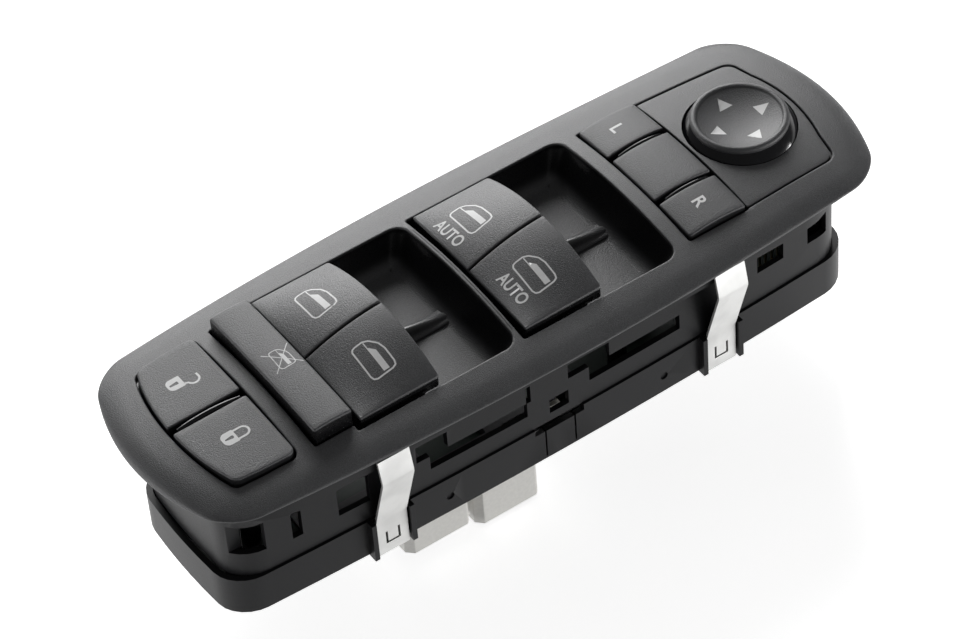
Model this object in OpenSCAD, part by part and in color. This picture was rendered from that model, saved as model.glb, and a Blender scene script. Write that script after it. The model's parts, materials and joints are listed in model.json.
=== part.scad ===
/* [Bezel] */
// Rim of the bezel behind the lock keys
rear_rim = 11.4; // [9:0.1:14]
// Rim of the bezel in front of the mirror panel
front_rim = 12.1; // [10:0.1:15]
// Width of the bezel at its middle
bezel_w = 75.4; // [70:0.2:82]
// Wall of the bezel shell
bezel_wall = 2.2; // [1.6:0.1:2.6]
// Height of the crown above the seat, at the middle
crown_h = 6.5; // [5.5:0.1:8]
// How far each long side bows outward
side_bow = 5; // [0:0.25:6]
// How far each short end bows outward
end_bow = 9; // [4:0.5:10]
// Extra width of the far half, on the windscreen's side
far_extra = 0.6; // [0:0.1:1]
// Share of the side bow that the far front corner gives up
far_fill = 0.45; // [0:0.05:0.6]
// Corner radius of the bezel before the bow
corner_r = 9; // [6:0.5:14]
// Width of the rolled rim
rim_roll = 6; // [4:0.5:8]

/* [Wells and keys] */
// Free finger space from a paddle tip to the well's end
finger_l = 23.3; // [20:0.1:26]
// Width of the wells, side to side
well_w = 54; // [53:0.5:56]
// Floor of the finger wells, below the seat
well_depth = 6; // [5:0.25:7]
// Length of a paddle
paddle_l = 24; // [23.5:0.1:25]
// Rise of a paddle tip above the paddle's outer edge
paddle_rise = 6.2; // [4:0.1:7]
// Wall of the paddles and keys
key_wall = 1.8; // [1.4:0.1:2.2]
// Width of the lockout bar
bar_w = 11.4; // [10:0.1:11.8]
// Length of the lockout bar
bar_l = 49; // [44:0.5:50]
// Height of the lockout bar's top above the seat
bar_h = 10; // [8:0.25:12]
// Width of the lock keys' opening
lock_w = 22.8; // [20:0.1:24]
// Width of the mirror select strip
strip_w = 19.2; // [17:0.1:20]
// Free gap round each key
key_gap = 0.5; // [0.4:0.05:0.7]

/* [Mirror knob] */
// Length of the mirror panel
panel_l = 33.8; // [33.4:0.1:38]
// Radius of the knob's dished rim
knob_r = 13.4; // [12:0.1:14]
// Radius of the ball that the knob's skirt is part of
ball_r = 17.9; // [17:0.1:18.2]
// Height of the tilt centre
tilt_z = -4.4; // [-5:0.1:-4]

/* [Case] */
// How far each end of the bezel reaches past the base cover
case_inset = 9.5; // [8:0.25:14]
// How far the base cover's sides stand in from the walls of the wells
case_in = 0.4; // [0.2:0.05:1]
// Depth of the base cover's floor below the seat
base_depth = 45; // [44:0.5:48]
// Depth of the seam between housing and base cover
seam_depth = 32.3; // [30:0.1:33]
// Wall of the housing and base cover
case_wall = 1.7; // [1.4:0.1:2]
// Depth of the housing's top edge below the seat
top_depth = 8.6; // [8.5:0.1:9.5]
// Depth of the deck that carries the pivots
deck_depth = 12; // [11.5:0.1:13]
// Height of the circuit board's top face above the base cover's underside
board_lift = 5; // [4.6:0.1:5.6]
// Thickness of the circuit board
board_t = 1.6; // [1:0.1:1.8]

/* [Motion] */
// Height of the paddle pivots
pivot_z = -1; // [-1.5:0.1:-0.5]
// Distance from a paddle's back edge to its pivot
pivot_back = 8; // [7:0.1:9]
// Radius of the pivot pins
pivot_r = 2; // [1.5:0.1:2.4]
// Radial clearance of pins and stems
run_fit = 0.06; // [0.03:0.01:0.1]
// Height of the contact sliders' drive pins above the board
drive_lift = 4.8; // [4.4:0.1:5.4]
// Radius of the drive pins
drive_r = 1.5; // [1.2:0.1:1.8]
// Radius of the push stems under the keys
stem_r = 2.5; // [2:0.1:3]
// Free travel of the push keys
key_travel = 1.4; // [1:0.1:1.6]
// Free travel of the lockout bar
bar_travel = 2.2; // [1.6:0.1:2.6]

/* [Connectors and clips] */
// Length of each plug shroud
plug_l = 19.8; // [18:0.1:21]
// Width of each plug shroud
plug_w = 13; // [12:0.5:14]
// Reach of the main plug shroud below the base cover
main_plug_reach = 16; // [12:0.5:18]
// Reach of the mirror plug shroud below the base cover
mirror_plug_reach = 12.4; // [11:0.1:15]
// Width of the spring clips
clip_w = 9.6; // [8:0.1:11]
// Thickness of the spring clips
clip_t = 0.8; // [0.6:0.1:1]
// How far a spring clip bows out from the case
clip_bow = 6; // [4:0.25:6.5]
// Lengthwise place of the spring clips, either side of the middle
clip_x = 53; // [50:0.5:56]

/* [Hidden] */
$fn = 48;
// Lands between the openings, then every station along the length from the rear end
paddle_gap = 1.5;
bar_land = 5;
well_land = 1.7;
strip_land = 4.6;
bezel_l = rear_rim + lock_w + bar_land + bar_w + 2 * (paddle_gap + paddle_l + finger_l)
    + well_land + 0.4 + strip_land + strip_w + panel_l + front_rim;
half_l = bezel_l / 2;
half_w = bezel_w / 2;
well_y = well_w / 2;
lip_h = 0.3;
crown_fall = 0.0036;
end_fall = 3.2;
lock_x0 = rear_rim - half_l;
lock_x1 = lock_x0 + lock_w;
bar_x0 = lock_x1 + bar_land;
bar_x1 = bar_x0 + bar_w;
rear_tip_x = bar_x1 + paddle_gap + paddle_l;
rear_end_x = rear_tip_x + finger_l;
front_start_x = rear_end_x + well_land;
front_tip_x = front_start_x + paddle_gap + paddle_l;
front_end_x = front_tip_x + finger_l + 0.4;
open_back = 3;
key_y = 25.2;
strip_x0 = front_end_x + strip_land;
strip_x1 = strip_x0 + strip_w;
panel_x1 = strip_x1 + panel_l;
knob_x = strip_x1 + 16.4;
divider_y = 10.3;
divider_t = 1.6;
lock_divider_t = 2;
lock_r = 2.2;
paddle_y = well_y - 1.5;
paddle_split = 0.3;
edge_z = 5.5;
// The mechanism under the paddles, all measured from the split line
rear_pivot_x = rear_tip_x - paddle_l + pivot_back;
front_pivot_x = front_tip_x - paddle_l + pivot_back;
bore_r = pivot_r + run_fit;
post_in = 1.5;
post_out_y = 21.8;
post_t = 1.6;
cheek_y = 3.6;
cheek_t = 2;
stem_y = 11;
arm_y = 17.6;
arm_t = 2;
arm_drop = 2;
slider_half_y = 3;
swing = 8;
deck_t = 2;
deck_z = -deck_depth;
board_depth = base_depth - board_lift;
board_z = -board_depth;
drive_depth = board_depth - drive_lift;
main_plug_depth = base_depth + main_plug_reach;
mirror_plug_depth = base_depth + mirror_plug_reach;
detent_r = 1.5;
detent_reach = 7.6;
// The case walls
base_l = bezel_l - 2 * case_inset;
base_w = well_w - 2 * case_in;
house_l = base_l - 4;
house_w = base_w - 1.2;
case_r = 9;
case_bow = 2.7;
case_end_bow = 1.5;
collar_bow = 1.1;
collar_r = case_r + 9;
collar_top = -1.4 - key_travel;
floor_t = 1.8;
seam_z = -seam_depth;
floor_z = -base_depth;
plug_y = -16.9;
main_plug_x = -15.2;
mirror_plug_x = -37.2;
plug_wall = 1.3;
// Stations of the keys' push stems
lock_stem_x = (lock_x0 + lock_x1) / 2 + 0.8;
lock_stem_y = 12.5;
strip_stem_x = (strip_x0 + strip_x1) / 2;
strip_stem_y = 17.6;
bar_stem_y = 15;
bar_mid_x = (bar_x0 + bar_x1) / 2;
bar_stem_x = bar_x0 + 3.4;
dome_top = board_z + 1.8;
stem_stations = [[lock_stem_x, lock_stem_y], [strip_stem_x, strip_stem_y], [bar_stem_x, bar_stem_y]];
screw_y = house_w / 2 - 9;
screw_stations = [lock_stem_x - 8, front_tip_x + 9.4, knob_x + 10.8];
well_wall = 1.4;
stand = deck_z + 0.02;
socket_r = 12;
socket_wall = 1.6;
ring_r = 9.9;
ring_wall = 2.2;
pin_r = 1.2;

// Points round a rectangle with rounded corners, half sizes a and b
function round_path(a, b, r) = concat(
    [for (i = [0:5]) let (t = -0.9 + 0.36 * i) [a, t * (b - r)]],
    [for (i = [0:6]) [a - r + r * cos(i * 15), b - r + r * sin(i * 15)]],
    [for (i = [1:11]) let (t = 1 - i / 6) [t * (a - r), b]],
    [for (i = [6:-1:0]) [r - a - r * cos(i * 15), b - r + r * sin(i * 15)]],
    [for (i = [0:5]) let (t = 0.9 - 0.36 * i) [-a, t * (b - r)]],
    [for (i = [0:6]) [r - a - r * cos(i * 15), r - b - r * sin(i * 15)]],
    [for (i = [1:11]) let (t = i / 6 - 1) [t * (a - r), -b]],
    [for (i = [6:-1:0]) [a - r + r * cos(i * 15), r - b - r * sin(i * 15)]]);

// The same path with its sides and ends bowed outward
function bowed_path(a, b, r, side, end) = [for (p = round_path(a, b, r))
    [p.x * (1 - end / a * pow(p.y / b, 2)), p.y * (1 - side / b * pow(p.x / a, 2))]];

// Height of the crowned top before the rim rolls down
function crown(x, y) = crown_h - crown_fall * y * y - end_fall * pow(abs(x) / half_l, 6);

// Share of the crown's height that is left at an inset from the rim
function roll(d) = d >= rim_roll ? 1 : sqrt(1 - pow(1 - max(d, 0) / rim_roll, 2));

// One ring of the bezel's skin at an inset d, dropped by a wall thickness
function skin_ring(d, drop) = let (
    a = half_l - d,
    b = max(half_w - d, 0.4),
    r = min(max(corner_r - d, 1.5 + 0.02 * b), b * 0.9))
    [for (q = round_path(a, b, r)) let (
        fill = q.y > 0 ? 1 - far_fill * max(q.x / a, 0) : 1,
        x = q.x * (1 - end_bow / a * pow(q.y / b, 2)),
        y = q.y * (1 - side_bow / half_w * fill * pow(q.x / a, 2)) * (q.y > 0 ? 1 + far_extra / half_w : 1))
        [x, y, lip_h + (crown(x, y) - lip_h) * roll(d - drop) - drop]];

// Triangles between equal rings, with a fan at each end
function ring_faces(n, k) = concat([[for (i = [0:n - 1]) i]],
    [for (j = [0:k - 2]) for (i = [0:n - 1]) [j * n + i, (j + 1) * n + i, j * n + (i + 1) % n]],
    [for (j = [0:k - 2]) for (i = [0:n - 1])
        [(j + 1) * n + i, (j + 1) * n + (i + 1) % n, j * n + (i + 1) % n]],
    [[for (i = [n - 1:-1:0]) (k - 1) * n + i]]);

// Crowned solid under the bezel's skin, standing on the plane at foot
module skin_solid(insets, drop, foot) {
    base = [for (p = skin_ring(insets[0], drop)) [p.x, p.y, foot]];
    rings = concat([base], [for (d = insets) skin_ring(d, drop)]);
    polyhedron([for (g = rings) for (p = g) p], ring_faces(len(base), len(rings)), 10);
}

// Block whose top follows a height function over a grid, down to foot
module crown_block(xs, ys, top, foot) {
    nx = len(xs);
    ny = len(ys);
    n = nx * ny;
    rim = concat([for (j = [0:ny - 1]) j], [for (i = [1:nx - 1]) i * ny + ny - 1],
        [for (j = [ny - 2:-1:0]) (nx - 1) * ny + j], [for (i = [nx - 2:-1:1]) i * ny]);
    m = len(rim);
    upper = [for (x = xs) for (y = ys) [x, y, top(x, y)]];
    lower = concat([for (k = rim) [upper[k].x, upper[k].y, foot]],
        [[(xs[0] + xs[nx - 1]) / 2, (ys[0] + ys[ny - 1]) / 2, foot]]);
    polyhedron(concat(upper, lower), concat(
        [for (i = [0:nx - 2]) for (j = [0:ny - 2])
            [i * ny + j, i * ny + j + 1, (i + 1) * ny + j]],
        [for (i = [0:nx - 2]) for (j = [0:ny - 2])
            [i * ny + j + 1, (i + 1) * ny + j + 1, (i + 1) * ny + j]],
        [for (k = [0:m - 1]) [rim[k], n + k, rim[(k + 1) % m]]],
        [for (k = [0:m - 1]) [n + k, n + (k + 1) % m, rim[(k + 1) % m]]],
        [for (k = [0:m - 1]) [n + (k + 1) % m, n + k, n + m]]), 10);
}

// Even steps from lo to hi with two close lines at each end for a soft edge
function edged(lo, hi, steps, soft) = concat([lo, lo + soft * 0.35],
    [for (i = [0:steps]) lo + soft + (hi - lo - 2 * soft) * i / steps], [hi - soft * 0.35, hi]);

// Box between two corners
module span(lo, hi) {
    translate(lo) cube([hi.x - lo.x, hi.y - lo.y, hi.z - lo.z]);
}

// Plate with a bowed outline
module bowed_plate(l, w, r, side, end, lo, hi) {
    translate([0, 0, lo]) linear_extrude(hi - lo) polygon(bowed_path(l / 2, w / 2, r, side, end));
}

// Box with rounded upright corners
module round_box(lo, hi, r) {
    translate([(lo.x + hi.x) / 2, (lo.y + hi.y) / 2, lo.z]) linear_extrude(hi.z - lo.z)
        polygon(round_path((hi.x - lo.x) / 2, (hi.y - lo.y) / 2, r));
}

// Pin along the width from y0 to y1
module cross_pin(x, z, y0, y1, r) {
    translate([x, y0, z]) rotate([-90, 0, 0]) cylinder(h = y1 - y0, r = r);
}

// Pin along the length from x0 to x1
module long_pin(y, z, x0, x1, r) {
    translate([x0, y, z]) rotate([0, 90, 0]) cylinder(h = x1 - x0, r = r);
}

// Wire coil standing at z0, made of one swept ring after another
module coil(r, wire, z0, z1, turns, sides) {
    steps = turns * sides;
    around = 6;
    rise = z1 - z0 - 2 * wire;
    points = [for (i = [0:steps]) for (k = [0:around - 1]) let (
        a = 360 * i / sides,
        q = r + wire * cos(360 * k / around))
        [q * cos(a), q * sin(a), z0 + wire + rise * i / steps + wire * sin(360 * k / around)]];
    polyhedron(points, concat([[for (k = [0:around - 1]) k]],
        [for (i = [0:steps - 1]) for (k = [0:around - 1])
            [i * around + k, (i + 1) * around + k, i * around + (k + 1) % around]],
        [for (i = [0:steps - 1]) for (k = [0:around - 1])
            [(i + 1) * around + k, (i + 1) * around + (k + 1) % around, i * around + (k + 1) % around]],
        [[for (k = [around - 1:-1:0]) steps * around + k]]), 10);
}

// Finger well: sloped walls down to a flat floor
module well_cavity(x0, x1) {
    hull() {
        round_box([x0, 2.8 - well_y, -well_depth], [x1 - 4.8, well_y - 2.8, 0.1 - well_depth], 4);
        round_box([x0, -well_y, crown_h - 1.5], [x1, well_y, crown_h + 2], 3);
    }
}

// Walls that carry a well below the skin
module well_block(x0, x1) {
    span([x0, -well_y - well_wall, -well_depth - 1.6], [x1 + 1.6, well_y + well_wall, crown_h + 1]);
}

// Outline that the lock keys fill: one end bowed like the bezel's own
module lock_outline(gap, lo, hi) {
    translate([0, 0, lo]) linear_extrude(hi - lo) polygon(concat(
        [for (i = [0:10]) let (t = 0.85 - 0.17 * i)
            [lock_x0 + gap + 4.2 * pow(t, 2), t * (key_y - gap - 1.6 * abs(t))]],
        [[lock_x0 + gap + 3.6, gap + 3.2 - key_y], [lock_x0 + gap + 4.6, gap + 1.9 - key_y]],
        [for (i = [1:3]) let (t = i / 4)
            [lock_x0 + 5 + t * (lock_w - 5 - gap), -(key_y - gap) + 1.2 * pow(1 - t, 2)]],
        [for (a = [-75:30:-15]) [lock_x1 - gap - lock_r * (1 - cos(a)),
            gap - key_y + lock_r * (1 + sin(a))]],
        [for (a = [15:30:75]) [lock_x1 - gap - lock_r * (1 - cos(a)),
            key_y - gap - lock_r * (1 - sin(a))]],
        [for (i = [3:-1:1]) let (t = i / 4)
            [lock_x0 + 5 + t * (lock_w - 5 - gap), key_y - gap - 1.2 * pow(1 - t, 2)]],
        [[lock_x0 + gap + 4.6, key_y - gap - 1.9], [lock_x0 + gap + 3.6, key_y - gap - 3.2]]));
}

// Outline of the mirror panel with its bowed end
module panel_outline(gap, lo, hi) {
    translate([0, 0, lo]) linear_extrude(hi - lo) polygon(concat(
        [[strip_x1 + gap - 0.4, -24.9 + gap], [panel_x1 - 8, -23.6 + gap]],
        [for (a = [-75:15:-15]) [panel_x1 - 8 + (4.6 - gap) * cos(a), -19 + (4.6 - gap) * sin(a)]],
        [for (i = [1:5]) let (t = i / 3 - 1) [panel_x1 - gap - 3.4 * t * t, 18.6 * t]],
        [for (a = [15:15:75]) [panel_x1 - 8 + (4.6 - gap) * cos(a), 19 + (4.6 - gap) * sin(a)]],
        [[panel_x1 - 8, 23.6 - gap], [strip_x1 + gap - 0.4, 24.9 - gap]]));
}

// Fall of a key's top close to its edges
function edge_fall(v, lo, hi, soft, fall) = fall * pow(1 - min(min(v - lo, hi - v), soft) / soft, 2);

// Height of a paddle's top, u from its back edge and y from the split line
function paddle_top(u, y) = let (s = u / paddle_l)
    edge_z + paddle_rise * (0.097 + 1.677 * s - 0.774 * s * s) * (1 - pow(y / (paddle_y + 0.1), 2))
    - edge_fall(u, 0, paddle_l, 1.2, 0.5) - edge_fall(y, -paddle_y, paddle_y, 1.2, 0.6);

// Height of the strip's keys: arched across, low at the far ends
function strip_top(x, y) = crown_h - 0.1 - 0.0022 * y * y
    + 1.0 * (1 - pow((x - strip_stem_x) / (strip_w / 2), 2));

// Hollow cap: crowned outside, the same crown a wall lower inside
module crowned_cap(x0, x1, y0, y1, foot, top, soft) {
    difference() {
        crown_block(edged(x0, x1, 6, soft), edged(y0, y1, 6, soft), top, foot);
        crown_block([for (i = [0:5]) x0 + key_wall + (x1 - x0 - 2 * key_wall) * i / 5],
            [for (i = [0:5]) y0 + key_wall + (y1 - y0 - 2 * key_wall) * i / 5],
            function(x, y) top(x, y) - key_wall, foot - 1);
    }
}

// Paddle on the far side of the split line, with its trunnions and lever
module paddle(tip) {
    back = tip - paddle_l;
    px = back + pivot_back;
    arm_top = paddle_top(pivot_back, arm_y) - key_wall / 2;
    difference() {
        union() {
            difference() {
                crowned_cap(back, tip, paddle_split, paddle_y, -2.5,
                    function(x, y) paddle_top(x - back, y), 1.4);
                span([px - 6.6, -1, -4], [px + 6.6, 2.6, 4.4]);
                crown_block([tip - 1.9 - key_wall, tip - 1, tip + 1],
                    [for (i = [0:5]) -0.5 + (paddle_y + 1) * i / 5],
                    function(x, y) paddle_top(x - back, min(y, paddle_y - 1)) - 3.4, -3);
            }
            span([tip - 6.4, paddle_split, -2.5], [tip - 6.4 + key_wall, paddle_y, edge_z - 2.4]);
            span([px - 4, cheek_y, pivot_z - 3.2],
                [px + 4, cheek_y + cheek_t, paddle_top(pivot_back - 4, cheek_y + cheek_t) - 0.4]);
            translate([px, stem_y, pivot_z - 4])
                cylinder(h = paddle_top(pivot_back, stem_y) - pivot_z + 4 - key_wall / 2, r = 3.2);
            cross_pin(px, pivot_z, 0.2, cheek_y + cheek_t, pivot_r);
            cross_pin(px, pivot_z, arm_y, post_out_y + post_t, pivot_r);
            translate([px, arm_y + arm_t, 0]) rotate([90, 0, 0]) linear_extrude(arm_t)
                polygon([[-4, arm_top], [-3.2, -drive_depth - arm_drop], [3.2, -drive_depth - arm_drop],
                    [4, arm_top]]);
        }
        translate([px, stem_y, pivot_z - 5]) cylinder(h = 10, r = detent_r + run_fit);
        span([px - drive_r - run_fit, arm_y - 1, -drive_depth - arm_drop - 1],
            [px + drive_r + run_fit, arm_y + arm_t + 1, -drive_depth + 2.8]);
    }
}

// Round-nosed pin that the paddle's spring presses into the notch
module detent_pin(tip) {
    px = tip - paddle_l + pivot_back;
    translate([px, stem_y, pivot_z - detent_reach + detent_r]) {
        sphere(r = detent_r);
        cylinder(h = detent_reach - detent_r, r = detent_r);
    }
}

module detent_spring(tip) {
    px = tip - paddle_l + pivot_back;
    translate([px, stem_y, 0]) coil(1.05, 0.2, pivot_z + 0.05, pivot_z + 4.9, 4, 9);
}

// Contact slider on the circuit board, driven by the paddle's lever
module slider(tip) {
    px = tip - paddle_l + pivot_back;
    mid = arm_y + arm_t / 2;
    span([px - 6, mid - slider_half_y, board_z + 0.8], [px + 6, mid + slider_half_y, board_z + 2.1]);
    for (s = [-1, 1]) {
        span([px - 2.8, mid + s * 2.15 - 0.75, board_z + 2],
            [px + 2.8, mid + s * 2.15 + 0.75, -drive_depth + drive_r + 0.6]);
    }
    cross_pin(px, -drive_depth, mid - 2.2, mid + 2.2, drive_r);
}

module wiper(tip) {
    px = tip - paddle_l + pivot_back;
    mid = arm_y + arm_t / 2;
    for (s = [-1, 1]) {
        span([px - 5, mid + s * 1.4 - 0.7, board_z + 0.5], [px + 5, mid + s * 1.4 + 0.7, board_z + 0.8]);
        for (e = [-1, 1]) {
            intersection() {
                cross_pin(px + e * 4.2, board_z + 0.8, mid + s * 1.4 - 0.6, mid + s * 1.4 + 0.6, 0.6);
                span([px - 6, mid - 3, board_z], [px + 6, mid + 3, board_z + 0.6]);
            }
        }
    }
}

// Stem of a push key, down to just above its dome
module push_stem(x, y, top_z, travel) {
    translate([x, y, dome_top + travel + 0.2]) cylinder(h = top_z - dome_top - travel - 0.2, r = stem_r);
}

// Openings in the long walls: both ends, then bottom and top
wall_windows = [[-66.8, -57.4, -25.8, -15], [-43.1, -33.5, -21.5, -13.4], [-39.1, -8.9, -26.3, -21.4],
    [-9.1, -7.6, -21.4, -14.1], [-2, 4.1, -29.6, -24.6], [4.3, 17.6, -20.6, -14],
    [10.9, 40.6, -25.6, -20.5], [67, 76, -22.3, -11.2], [84.4, 91.4, -22.6, -11.6],
    [-73.2, -71.2, -14.2, -11]];

// Wall of the housing between two heights
module house_wall(l, w, t, lo, hi) {
    difference() {
        bowed_plate(l, w, case_r, case_bow, case_end_bow, lo, hi);
        bowed_plate(l - 2 * t, w - 2 * t, case_r - t, case_bow, case_end_bow, lo - 1, hi + 1);
    }
}

// Bearing posts and lever slot for the paddles of one well, far half
module pivot_posts(px) {
    span([px - 4, post_out_y, deck_z - 1], [px + 4, post_out_y + post_t, pivot_z + pivot_r + 1.6]);
    span([px - 7.5, stem_y - 2.6, deck_z - 1], [px + 7.5, stem_y + 2.6, pivot_z - 5]);
}

// Tube on the deck that guides a push stem
module stem_guide(x, y) {
    translate([x, y, deck_z - deck_t - 8]) cylinder(h = deck_t + 13, r = stem_r + 1.6);
}

// Leg of the bezel that stands in the housing's collar
module bezel_leg(x, s) {
    y = house_w / 2 + 3.1 - collar_bow * pow(x / (house_l / 2 + 2.4), 2);
    span([x - 3, s > 0 ? y - 1.8 : 0.6 - y, 0.3 - top_depth], [x + 3, s > 0 ? y - 0.6 : 1.8 - y, 2.4]);
}

module bezel() {
    color("#2e2e31") difference() {
        union() {
            difference() {
                skin_solid([0, 0.25, 0.8, 1.8, 3.2, 4.6, 6, 10, 16, 23, 30, 36.4], 0, 0);
                skin_solid([2.2, 3.6, 6, 14, 24, 36.4], bezel_wall, -4);
            }
            intersection() {
                skin_solid([6, 15, 25, 36.4], 0.05, -well_depth - 4);
                union() {
                    well_block(bar_x1 - 0.4, rear_end_x);
                    well_block(front_start_x, front_end_x);
                }
            }
        }
        span([bar_x0 - key_gap, -bar_l / 2 - key_gap, -20], [bar_x1 + 1, bar_l / 2 + key_gap, 20]);
        span([bar_x1 - 0.2, -well_y, -20], [rear_tip_x - open_back, well_y, 20]);
        span([front_start_x, -well_y, -20], [front_tip_x - open_back, well_y, 20]);
        difference() {
            union() {
                well_cavity(rear_tip_x - open_back - 6, rear_end_x);
                well_cavity(front_tip_x - open_back - 6, front_end_x);
            }
            for (x1 = [rear_end_x, front_end_x]) {
                translate([x1 - 4.6, 0.6, -well_depth - 1]) rotate([90, 0, 0]) linear_extrude(1.2)
                    polygon([[0, 0], [0, 1.4], [-14, 4.2], [-23, 4.2], [-23, 0]]);
            }
        }
        lock_outline(0, -20, 20);
        span([strip_x0, -key_y, -20], [strip_x1 + 0.2, key_y, 20]);
        panel_outline(0, -20, 20);
    }
    color("#2e2e31") for (s = [-1, 1]) {
        for (x = [lock_x1 + 1, strip_x0 + 8]) {
            bezel_leg(x, s);
        }
    }
}

module mirror_panel() {
    xs = [for (i = [0:9]) strip_x1 - 1 + i * (panel_l + 3) / 9];
    ys = [for (i = [0:10]) i * 5.2 - 26];
    color("#303033") {
        difference() {
            intersection() {
                panel_outline(key_gap, -2, 20);
                crown_block(xs, ys, function(x, y) crown(x, y) - 0.1, -3);
            }
            intersection() {
                panel_outline(key_gap + 1.8, -3, 20);
                crown_block(xs, ys, function(x, y) crown(x, y) - 2.2, -4);
            }
            translate([knob_x, 0, tilt_z]) sphere(r = ball_r + 0.3, $fn = 96);
        }
        for (s = [-1, 1]) {
            for (x = [knob_x - 12.7, knob_x + 9.2]) {
                translate([x, s * 18.6, stand]) cylinder(h = crown_h - 3.4 - stand, r = 1.6, $fn = 24);
            }
        }
    }
}

module housing() {
    color("#232325") difference() {
        union() {
            house_wall(house_l, house_w, case_wall, seam_z, -top_depth - 1);
            difference() {
                bowed_plate(house_l + 7.6, house_w + 8.6, collar_r, collar_bow, 6, -top_depth - 1.4, collar_top);
                bowed_plate(house_l + 4.8, house_w + 6.2, collar_r - 1, collar_bow, 6, -top_depth, 3);
                bowed_plate(house_l - 2 * case_wall, house_w - 2 * case_wall, case_r - case_wall,
                    case_bow, case_end_bow, -top_depth - 3, 3);
            }
            bowed_plate(house_l - 1, house_w - 1, case_r - 0.5, case_bow, case_end_bow,
                deck_z - deck_t, deck_z);
            for (px = [rear_pivot_x, front_pivot_x]) {
                span([px - 4, -post_in, deck_z - 1], [px + 4, post_in, pivot_z + pivot_r + 1.6]);
                pivot_posts(px);
                mirror([0, 1, 0]) pivot_posts(px);
            }
            for (s = [-1, 1]) {
                for (p = stem_stations) {
                    stem_guide(p.x, s * p.y);
                }
                for (x = screw_stations) {
                    translate([x, s * screw_y, board_z + 0.1]) cylinder(h = deck_z - board_z - 1, r = 2.6);
                }
            }
        }
        for (px = [rear_pivot_x, front_pivot_x]) {
            cross_pin(px, pivot_z, -house_w / 2, house_w / 2, bore_r);
            for (s = [-1, 1]) {
                span([px - swing + 2, s * (arm_y + arm_t / 2) - arm_t / 2 - 0.5, deck_z - 5],
                    [px + swing - 2, s * (arm_y + arm_t / 2) + arm_t / 2 + 0.5, deck_z + 1]);
                cross_pin(px, pivot_z, s * stem_y - 3, s * stem_y + 3, detent_reach + 0.3);
                cross_pin(px, pivot_z - detent_reach, s * stem_y - 2, s * stem_y + 2, 1);
            }
        }
        for (s = [-1, 1]) {
            for (p = stem_stations) {
                translate([p.x, s * p.y, deck_z - 20]) cylinder(h = 40, r = stem_r + run_fit);
            }
            for (x = screw_stations) {
                translate([x, s * screw_y, board_z - 1]) cylinder(h = 12, r = 1.1);
            }
            for (i = [-2.5:1:2.5]) {
                translate([knob_x + 2 * i, s * 14.6, deck_z - 5]) cylinder(h = 8, r = 0.6);
            }
        }
        for (w = wall_windows) {
            for (s = [-1, 1]) {
                span([w[0], s > 0 ? 15 : -40, w[2]], [w[1], s > 0 ? 40 : -15, w[3]]);
            }
        }
        for (s = [-1, 1]) {
            span([-120, s > 0 ? 19 : -60, -24.2], [-88, s > 0 ? 60 : -19, deck_z - deck_t - 0.2]);
            translate([-78.9, s * 15, -17]) rotate([s * -90, 0, 0]) cylinder(h = 30, r = 1.5);
            span([-80.4, s > 0 ? 15 : -40, -25.5], [-77.4, s > 0 ? 40 : -15, -17]);
        }
    }
}

module base_cover() {
    color("#262628") difference() {
        union() {
            difference() {
                bowed_plate(base_l, base_w, case_r, case_bow, case_end_bow, floor_z, seam_z - 0.3);
                bowed_plate(base_l - 2 * case_wall, base_w - 2 * case_wall, case_r - case_wall,
                    case_bow, case_end_bow, floor_z + floor_t, 0);
            }
            for (sx = [-1, 1]) {
                for (sy = [-1, 1]) {
                    for (e = [-1, 1]) {
                        translate([sx * clip_x + e * (clip_w / 2 + 1.1), sy * (base_w / 2 - 0.6), 0])
                            span([-0.7, sy > 0 ? -1 : -2, floor_z - 0.9],
                                [0.7, sy > 0 ? 2 : 1, seam_z - 0.3]);
                    }
                }
            }
            for (x = [lock_stem_x + 2.4, bar_mid_x + 3.1, front_tip_x - 4.6, strip_x0 + 5.1, knob_x - 1.2]) {
                for (s = [-1, 1]) {
                    span([x - 3, s > 0 ? 17 : -19, floor_z + 0.5],
                        [x + 3, s > 0 ? 19 : -17, board_z - board_t - 0.05]);
                }
            }
        }
        for (s = [-1, 1]) {
            span([-7.4, s > 0 ? 20 : -40, -34.7], [8.3, s > 0 ? 40 : -20, 0]);
            for (x = [-4.1, 5.3]) {
                span([x - 0.25, s > 0 ? 20 : -40, floor_z + 0.8], [x + 0.25, s > 0 ? 40 : -20, 0]);
            }
            for (x = [-34.5, 34.5]) {
                cross_pin(x, floor_z + 5.7, s > 0 ? base_w / 2 - 0.9 : -30,
                    s > 0 ? 30 : 0.9 - base_w / 2, 1.2);
            }
        }
        for (x = [main_plug_x, mirror_plug_x]) {
            span([x - plug_l / 2 - 0.4, plug_y - plug_w / 2 - 0.4, floor_z - 1],
                [x + plug_l / 2 + 0.4, plug_y + plug_w / 2 + 0.4, floor_z + 3]);
        }
    }
}

module centre_cap() {
    color("#2f2f32") crowned_cap(strip_x0 + key_gap, strip_x1 - key_gap, -divider_y + divider_t / 2 + 0.15,
        divider_y - divider_t / 2 - 0.15, crown_h - 3.5, function(x, y) strip_top(x, y)
        - edge_fall(x, strip_x0 + key_gap, strip_x1 - key_gap, 1, 0.4), 1.1);
    color("#2f2f32") for (s = [-1, 1]) {
        span([strip_stem_x - 6, s * 6 - 1, stand], [strip_stem_x + 6, s * 6 + 1, crown_h - 1.2]);
    }
}

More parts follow.
